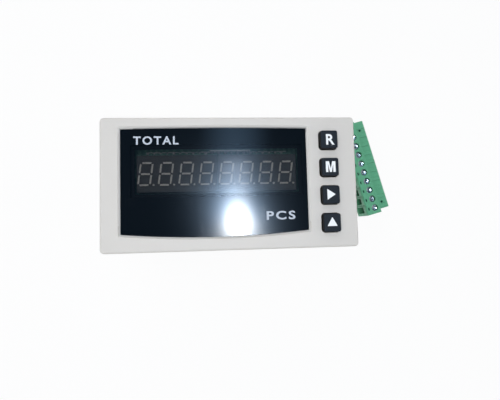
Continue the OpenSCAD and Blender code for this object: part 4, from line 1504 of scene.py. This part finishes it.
@dataclass
class DisplayUnit(RepeatingAssembly):
    """The digit modules, and their board with its solder joints, print and link wire."""

    joint_pitch: float = 2.54 * MM
    joint_radius: float = 0.55 * MM
    joint_height: float = 0.4 * MM
    joint_profile: tuple[Point, ...] = ((1.0, 0.0), (0.72, 0.35), (0.5, 0.75), (0.28, 1.0))
    joint_variety: Variety = Variety(most_turn=math.tau, spread=0.3, seed=7)
    joint_gap: float = 2.1 * MM
    joint_margin: float = 3.0 * MM
    blunt_across: float = 0.45 * MM
    blunt_along: float = 0.2 * MM
    largest_point: float = 1.5 * MM
    point_share: float = 0.8
    segment_share: float = 0.78
    segment_slant: float = math.radians(8)
    mark_size: Size = (1.5 * MM, 0.42 * MM)
    mark_corner: float = 0.1 * MM
    mark_thickness: float = 0.03 * MM
    mark_lift: float = 0.35 * MM
    mark_variety: Variety = Variety(spread=0.35, seed=5)
    wire_ends: Span = (-8.0 * MM, 7.85 * MM)
    wire_radius: float = 0.28 * MM
    wire_row: float = 13.22 * MM
    wire_height: float = 3.0 * MM

    def build(self) -> None:
        """Builds the segments, joints, wire and print, and dresses the modules and the board."""
        for side in ("left", "right"):
            self.dress(f"led_module_{side}", Finish.LED_FACE)
            self.refine(f"led_segments_{side}", Finish.SEGMENT, self._blunt)
        self.dress("display_board", Finish.BOARD)
        joints = self._places()
        step = Vector((self.joint_pitch / 2, self.mark_lift, 0))
        marks = [place + step for place in joints]
        self.scatter("solder_joints", self._joint(), joints, Finish.SOLDER, variety=self.joint_variety)
        self.scatter("board_marks", self._mark(), marks, Finish.BOARD_PRINT, variety=self.mark_variety)
        self.add("board_wire", self._wire(), Finish.SOLDER)

    def _blunt(self, shape: bmesh.types.BMesh) -> None:
        """Cuts the segments' tips off, so that dark gaps show between them, and slims them and the points.

        Args:
            shape: The segments and points of one module.
        """
        lean = math.tan(self.segment_slant)
        for solid in solids_of(shape):
            xs, ys = [v.co.x for v in solid], [v.co.y for v in solid]
            wide, high = max(xs) - min(xs), max(ys) - min(ys)
            middle = middle_of(v.co for v in solid)
            for vert in solid:
                if max(wide, high) < self.largest_point:
                    vert.co.xy = middle.xy + (vert.co.xy - middle.xy) * self.point_share
                elif wide > high:
                    reach = wide / 2 - self.blunt_across
                    vert.co.x = min(max(vert.co.x, middle.x - reach), middle.x + reach)
                    vert.co.y = middle.y + (vert.co.y - middle.y) * self.segment_share
                else:
                    reach = high / 2 - self.blunt_along
                    vert.co.y = min(max(vert.co.y, middle.y - reach), middle.y + reach)
                    axis = middle.x + (vert.co.y - middle.y) * lean
                    vert.co.x = axis + (vert.co.x - axis) * self.segment_share

    def _mark(self) -> bpy.types.Mesh:
        """Makes one printed dash, about the origin."""
        outline = rounded_corners(about_origin(self.mark_size), self.mark_corner)
        return mesh_from("board_mark_part", flat_prism(outline, 0.0, self.mark_thickness))

    def _joint(self) -> bpy.types.Mesh:
        """Makes one low cone of solder, about the origin."""
        profile = [(out * self.joint_radius, rise * self.joint_height) for out, rise in self.joint_profile]
        return turned_part("solder_joint_part", profile)

    def _wire(self) -> bpy.types.Mesh:
        """Makes the bare link wire above the modules, with its two legs down to the board.

        Returns:
            The wire's mesh, in place.
        """
        (start, end), radius = self.wire_ends, self.wire_radius
        bar = round_bar("board_wire_bar", radius, end - start, Axis.Y)
        bar.transform(Matrix.Translation(((start + end) / 2, self.wire_row, self.wire_height)))
        parts = [bar]
        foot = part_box("display_board")[1].z
        for x in (start + 2 * radius, end - 2 * radius):
            leg = turned_part("board_wire_leg", [(radius, foot), (radius, self.wire_height)])
            leg.transform(Matrix.Translation((x, self.wire_row, 0)))
            parts.append(leg)

        def build(shape: bmesh.types.BMesh) -> None:
            """Puts the bar and its legs together."""
            for part in parts:
                shape.from_mesh(part)

        return mesh_from("board_wire_mesh", build)

    def _places(self) -> list[Vector]:
        """Lists the places of the joints.

        Returns:
            A row of places above the modules and a row below them.
        """
        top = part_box("display_board")[1].z
        first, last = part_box("led_module_left"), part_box("led_module_right")
        x0 = first[0].x + self.joint_margin
        count = int((last[1].x - self.joint_margin - x0) / self.joint_pitch) + 1
        rows = (first[1].y + self.joint_gap, first[0].y - self.joint_gap)
        return [Vector((x0 + self.joint_pitch * i, y, top)) for y in rows for i in range(count)]


@dataclass
class Case(RepeatingAssembly):
    """The case with its rear cover, the cover's screws and the socket in it."""

    screw_dish: float = 0.0
    screw_variety: Variety = Variety(most_turn=math.tau, seed=3)

    def build(self) -> None:
        """Builds the case, its cover, screws and socket."""
        for node in ("case_sleeve", "rear_cover"):
            self.refine(node, Finish.CASE)
        self.refine("terminal_header", Finish.TERMINAL)
        self.renew_screws("cover_screws", self.screw_dish, self.screw_variety)
        self.dress("header_pins", Finish.CONTACT)


@dataclass
class MountingClips(RepeatingAssembly):
    """The two sliding clips and the grip ridges on them."""

    ridge_count: int = 4
    ridge_pitch: float = 1.6 * MM
    ridge_radius: float = 0.35 * MM
    ridge_length: float = 11 * MM
    bar_out: float = 48.8 * MM
    first_ridge: float = 8.2 * MM

    def build(self) -> None:
        """Builds both clips with their ridges."""
        for side, body, sign in (("left", Body.LEFT_CLIP, -1), ("right", Body.RIGHT_CLIP, 1)):
            self.refine(f"clip_{side}", Finish.CLIP)
            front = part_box(f"clip_{side}")[1].z - self.first_ridge
            steps = [self.ridge_pitch * i for i in range(self.ridge_count)]
            places = [Vector((sign * self.bar_out, 0, front - step)) for step in steps]
            ridge = round_bar(f"grip_ridge_{side}_part", self.ridge_radius, self.ridge_length, Axis.X)
            self.scatter(f"grip_ridges_{side}", ridge, places, Finish.CLIP, body)


@dataclass
class TerminalPlug(RepeatingAssembly):
    """The loose terminal plug with its screws, clamps and contacts, and dark sheets of painted shade sunk
    into its slots and dimples.
    """

    screw_dish: float = 0.19 * MM
    screw_variety: Variety = Variety(most_turn=math.pi, seed=11)
    slot_shade_size: Size = (0.72 * MM, 1.42 * MM)
    slot_shade_from_screw: float = 3.5 * MM
    dot_radius: float = 0.64 * MM
    dot_from_screw: float = 6.35 * MM
    dot_from_middle: float = 21.0 * MM
    dot_below_top: float = 3.8 * MM
    shade_depth: float = 0.5 * MM
    shade_thickness: float = 0.15 * MM

    def build(self) -> None:
        """Builds the plug, its metal parts and the dark sheets of painted shade sunk into its slots and
        dimples.
        """
        self.refine("plug_body", Finish.TERMINAL)
        self.renew_screws("plug_screws", self.screw_dish, self.screw_variety)
        self.dress("plug_clamps", Finish.SCREW)
        self.dress("plug_contacts", Finish.CONTACT)
        self._recess_shade()

    def _recess_shade(self) -> None:
        """Adds a dark sheet of painted shade in the slot beside each screw and in the two round dimples."""
        shape = self.shape_of("plug_screws")
        screws = sorted((middle_of(v.co for v in solid) for solid in solids_of(shape)), key=lambda p: p.y)
        shape.free()
        row = (screws[-1] - screws[0]).normalized()
        wire = Vector((-row.y, row.x, 0.0))
        middle = (screws[0] + screws[-1]) / 2
        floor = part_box("plug_body")[1].z - self.shade_depth
        corners = [wire * u + row * v for u, v in about_origin(self.slot_shade_size)]
        slots = [p + wire * self.slot_shade_from_screw for p in screws]
        across = middle - wire * self.dot_from_screw
        dimples = [across + row * (side * self.dot_from_middle) for side in (-1, 1)]
        for name, outline, places, height in (
            ("plug_slot_marks", [(c.x, c.y) for c in corners], slots, floor),
            ("plug_dimple_marks", circle(self.dot_radius), dimples, floor - self.dot_below_top),
        ):
            part = mesh_from(f"{name}_part", flat_prism(outline, 0.0, self.shade_thickness))
            points = [Vector((p.x, p.y, height)) for p in places]
            self.scatter(name, part, points, Finish.INLAY)


@dataclass
class Electronics(SubAssembly):
    """The parts inside the case."""

    finishes: dict[str, Finish] = field(
        default_factory=lambda: {
            "main_board": Finish.BOARD,
            "board_link": Finish.PART,
            "transformer_core": Finish.CORE,
            "transformer_coil": Finish.COIL,
            "filter_capacitors": Finish.PART,
            "output_relay": Finish.PART,
            "control_chip": Finish.PART,
            "input_couplers": Finish.PART,
        }
    )

    def build(self) -> None:
        """Dresses the parts."""
        for node, finish in self.finishes.items():
            self.dress(node, finish)


@dataclass(frozen=True)
class SoftLamp:
    """A lamp with a flat glowing face that points at a spot."""

    name: str
    place: Triple
    size: Size
    glow: float
    colour: Colour = (1.0, 1.0, 1.0)
    mirrored: bool = True
    aim: Triple = (0.0, 0.0, 0.0)

    def build(self) -> None:
        """Adds the lamp."""
        width, height = self.size
        light = bpy.data.lights.new(self.name, "AREA")
        light.shape = "RECTANGLE"
        light.size = width
        light.size_y = height
        light.energy = self.glow * math.pi * width * height
        light.color = self.colour
        lamp = add_object(self.name, light)
        lamp.location = self.place
        lamp.rotation_euler = (Vector(self.aim) - Vector(self.place)).to_track_quat("-Z", "Y").to_euler()
        lamp.visible_camera = False
        lamp.visible_glossy = self.mirrored


@dataclass
class Studio:
    """The floor, the light and the camera."""

    floor_size: Size = (6.0, 6.0)
    eye: Triple = (-6.67 * MM, -16.70 * MM, 156.62 * MM)
    aim: Triple = (6.79 * MM, -6.52 * MM, 8.0 * MM)
    roll: float = math.radians(-1.55)
    lens: float = 28.8
    sensor: float = 36.0
    nearest: float = 0.005
    farthest: float = 20.0
    dome: float = 0.50
    dim_from: float = 0.66
    dim_to: float = 0.78
    zenith_colour: Colour = (0.020, 0.062, 0.110)
    glare_at: Point = (0.0602, 0.0146)
    glare_taper: float = 6.0
    glare_least: float = 0.7
    halo_lean: float = 0.14
    halo_rise: float = 0.0075
    glare_radius: float = 0.0308
    glare_height: float = 1.3
    core_fall: float = 0.012
    core_colour: Colour = (18.3, 17.3, 15.7)
    halo_fall: float = 0.0265
    halo_colour: Colour = (10.2, 14.4, 20.0)
    plume_at: float = 0.0557
    plume_half: float = 0.055
    plume_top: float = 0.175
    plume_base: float = 0.130
    plume_colour: Colour = (2.3, 2.7, 3.4)
    strip_half: float = 0.10
    strip_colour: Colour = (0.49, 0.84, 1.30)
    lamps: tuple[SoftLamp, ...] = (
        SoftLamp("key_softbox", (-0.20, 0.52, 0.46), (0.50, 0.40), glow=1.5, colour=(1.0, 0.99, 0.97)),
        SoftLamp("fill_softbox", (0.55, -0.10, 0.42), (0.40, 0.40), glow=0.6, colour=(1.0, 0.985, 0.97)),
        SoftLamp("front_softbox", (-0.25, -0.60, 0.36), (0.40, 0.30), glow=0.5),
        SoftLamp("overhead_softbox", (-0.05, -0.015, 0.30), (0.17, 0.17), glow=5.6, mirrored=False),
    )

    def build(self, lowest: float) -> None:
        """Builds the studio.

        Args:
            lowest: The height that the counter stands on.
        """
        self._floor(lowest)
        self._world()
        self._lamps()
        self._camera()
        bpy.context.scene.view_settings.view_transform = "Standard"

    def _floor(self, height: float) -> None:
        """Adds a wide floor.

        Args:
            height: The height that it lies at.
        """

        def build(shape: bmesh.types.BMesh) -> None:
            """Adds the floor's face."""
            shape.faces.new(ring(shape, about_origin(self.floor_size), height))

        mesh = mesh_from("studio_floor_mesh", build)
        coat(mesh, Finish.FLOOR)
        add_object("studio_floor", mesh)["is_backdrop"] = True

    def _world(self) -> None:
        """Lights the room: white all round, and dim above but for the glare that the window mirrors."""
        world = bpy.data.worlds.new("studio_world")
        bpy.context.scene.world = world
        world.use_nodes = True
        graph = Graph(world.node_tree)
        direction = graph.out(graph.node("ShaderNodeTexCoord"), "Generated")
        right, ahead, up = graph.parts_of(direction)
        room = graph.blend(graph.seen(), (self.dome,) * 3, (1.0, 1.0, 1.0))
        above = up.eased(self.dim_from, self.dim_to)
        colour = graph.blend(above, room, self.zenith_colour)
        along = ahead - self.glare_at[1]
        across = right - self.plume_at
        aside = right - self.glare_at[0]
        egg = aside * (along * self.glare_taper + 1.0).largest(self.glare_least)
        leaning = aside + along * self.halo_lean
        tall = along * (1 / self.glare_height)
        raised = tall - self.halo_rise
        core = (egg * egg + tall * tall).root()
        halo = (leaning * leaning + raised * raised).root()
        rising = along.eased(-self.glare_radius, self.glare_radius)
        plume = across.size().eased(self.plume_half, 0.0) * along.eased(self.plume_top, self.plume_base)
        for amount, tint in (
            (across.size().eased(self.strip_half, 0.0) * rising, self.strip_colour),
            (plume * rising, self.plume_colour),
            (halo.fading(self.glare_radius, self.halo_fall), self.halo_colour),
            (core.fading(self.glare_radius, self.core_fall), self.core_colour),
        ):
            colour = graph.lit(colour, amount * above, tint)
        shader = graph.out(graph.node("ShaderNodeBackground", None, {"Color": colour, "Strength": 1.0}))
        graph.finish(shader, "ShaderNodeOutputWorld")

    def _lamps(self) -> None:
        """Adds the softboxes."""
        for lamp in self.lamps:
            lamp.build()

    def _camera(self) -> None:
        """Adds the camera at the viewpoint, turned about its own axis by the roll."""
        eye = Vector(self.eye)
        backward = (eye - Vector(self.aim)).normalized()
        level_right = Vector((0, 1, 0)).cross(backward).normalized()
        level_up = backward.cross(level_right)
        right = level_right * math.cos(self.roll) + level_up * math.sin(self.roll)
        up = backward.cross(right)
        data = bpy.data.cameras.new("photo_camera")
        data.lens = self.lens
        data.sensor_width = self.sensor
        data.clip_start = self.nearest
        data.clip_end = self.farthest
        camera = add_object("photo_camera", data)
        turn = Matrix((right, up, backward)).transposed().to_4x4()
        camera.matrix_world = Matrix.Translation(eye) @ turn
        bpy.context.scene.camera = camera


def main() -> None:
    """Loads the frame and builds everything around it, in order."""
    logging.basicConfig(level=logging.INFO, format="%(name)s: %(message)s")
    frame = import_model()
    cad_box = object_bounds()
    Studio().build(cad_box[0].z)
    tree = RepeatTree("parts_at_points")
    for assembly in (
        FrontBezel(frame),
        DisplayWindow(frame),
        KeyColumn(frame),
        DisplayUnit(frame, tree),
        Case(frame, tree),
        MountingClips(frame, tree),
        TerminalPlug(frame, tree),
        Electronics(frame),
    ):
        assembly.build()
        LOG.info("finished %s", type(assembly).__name__)


if __name__ == "__main__":
    main()
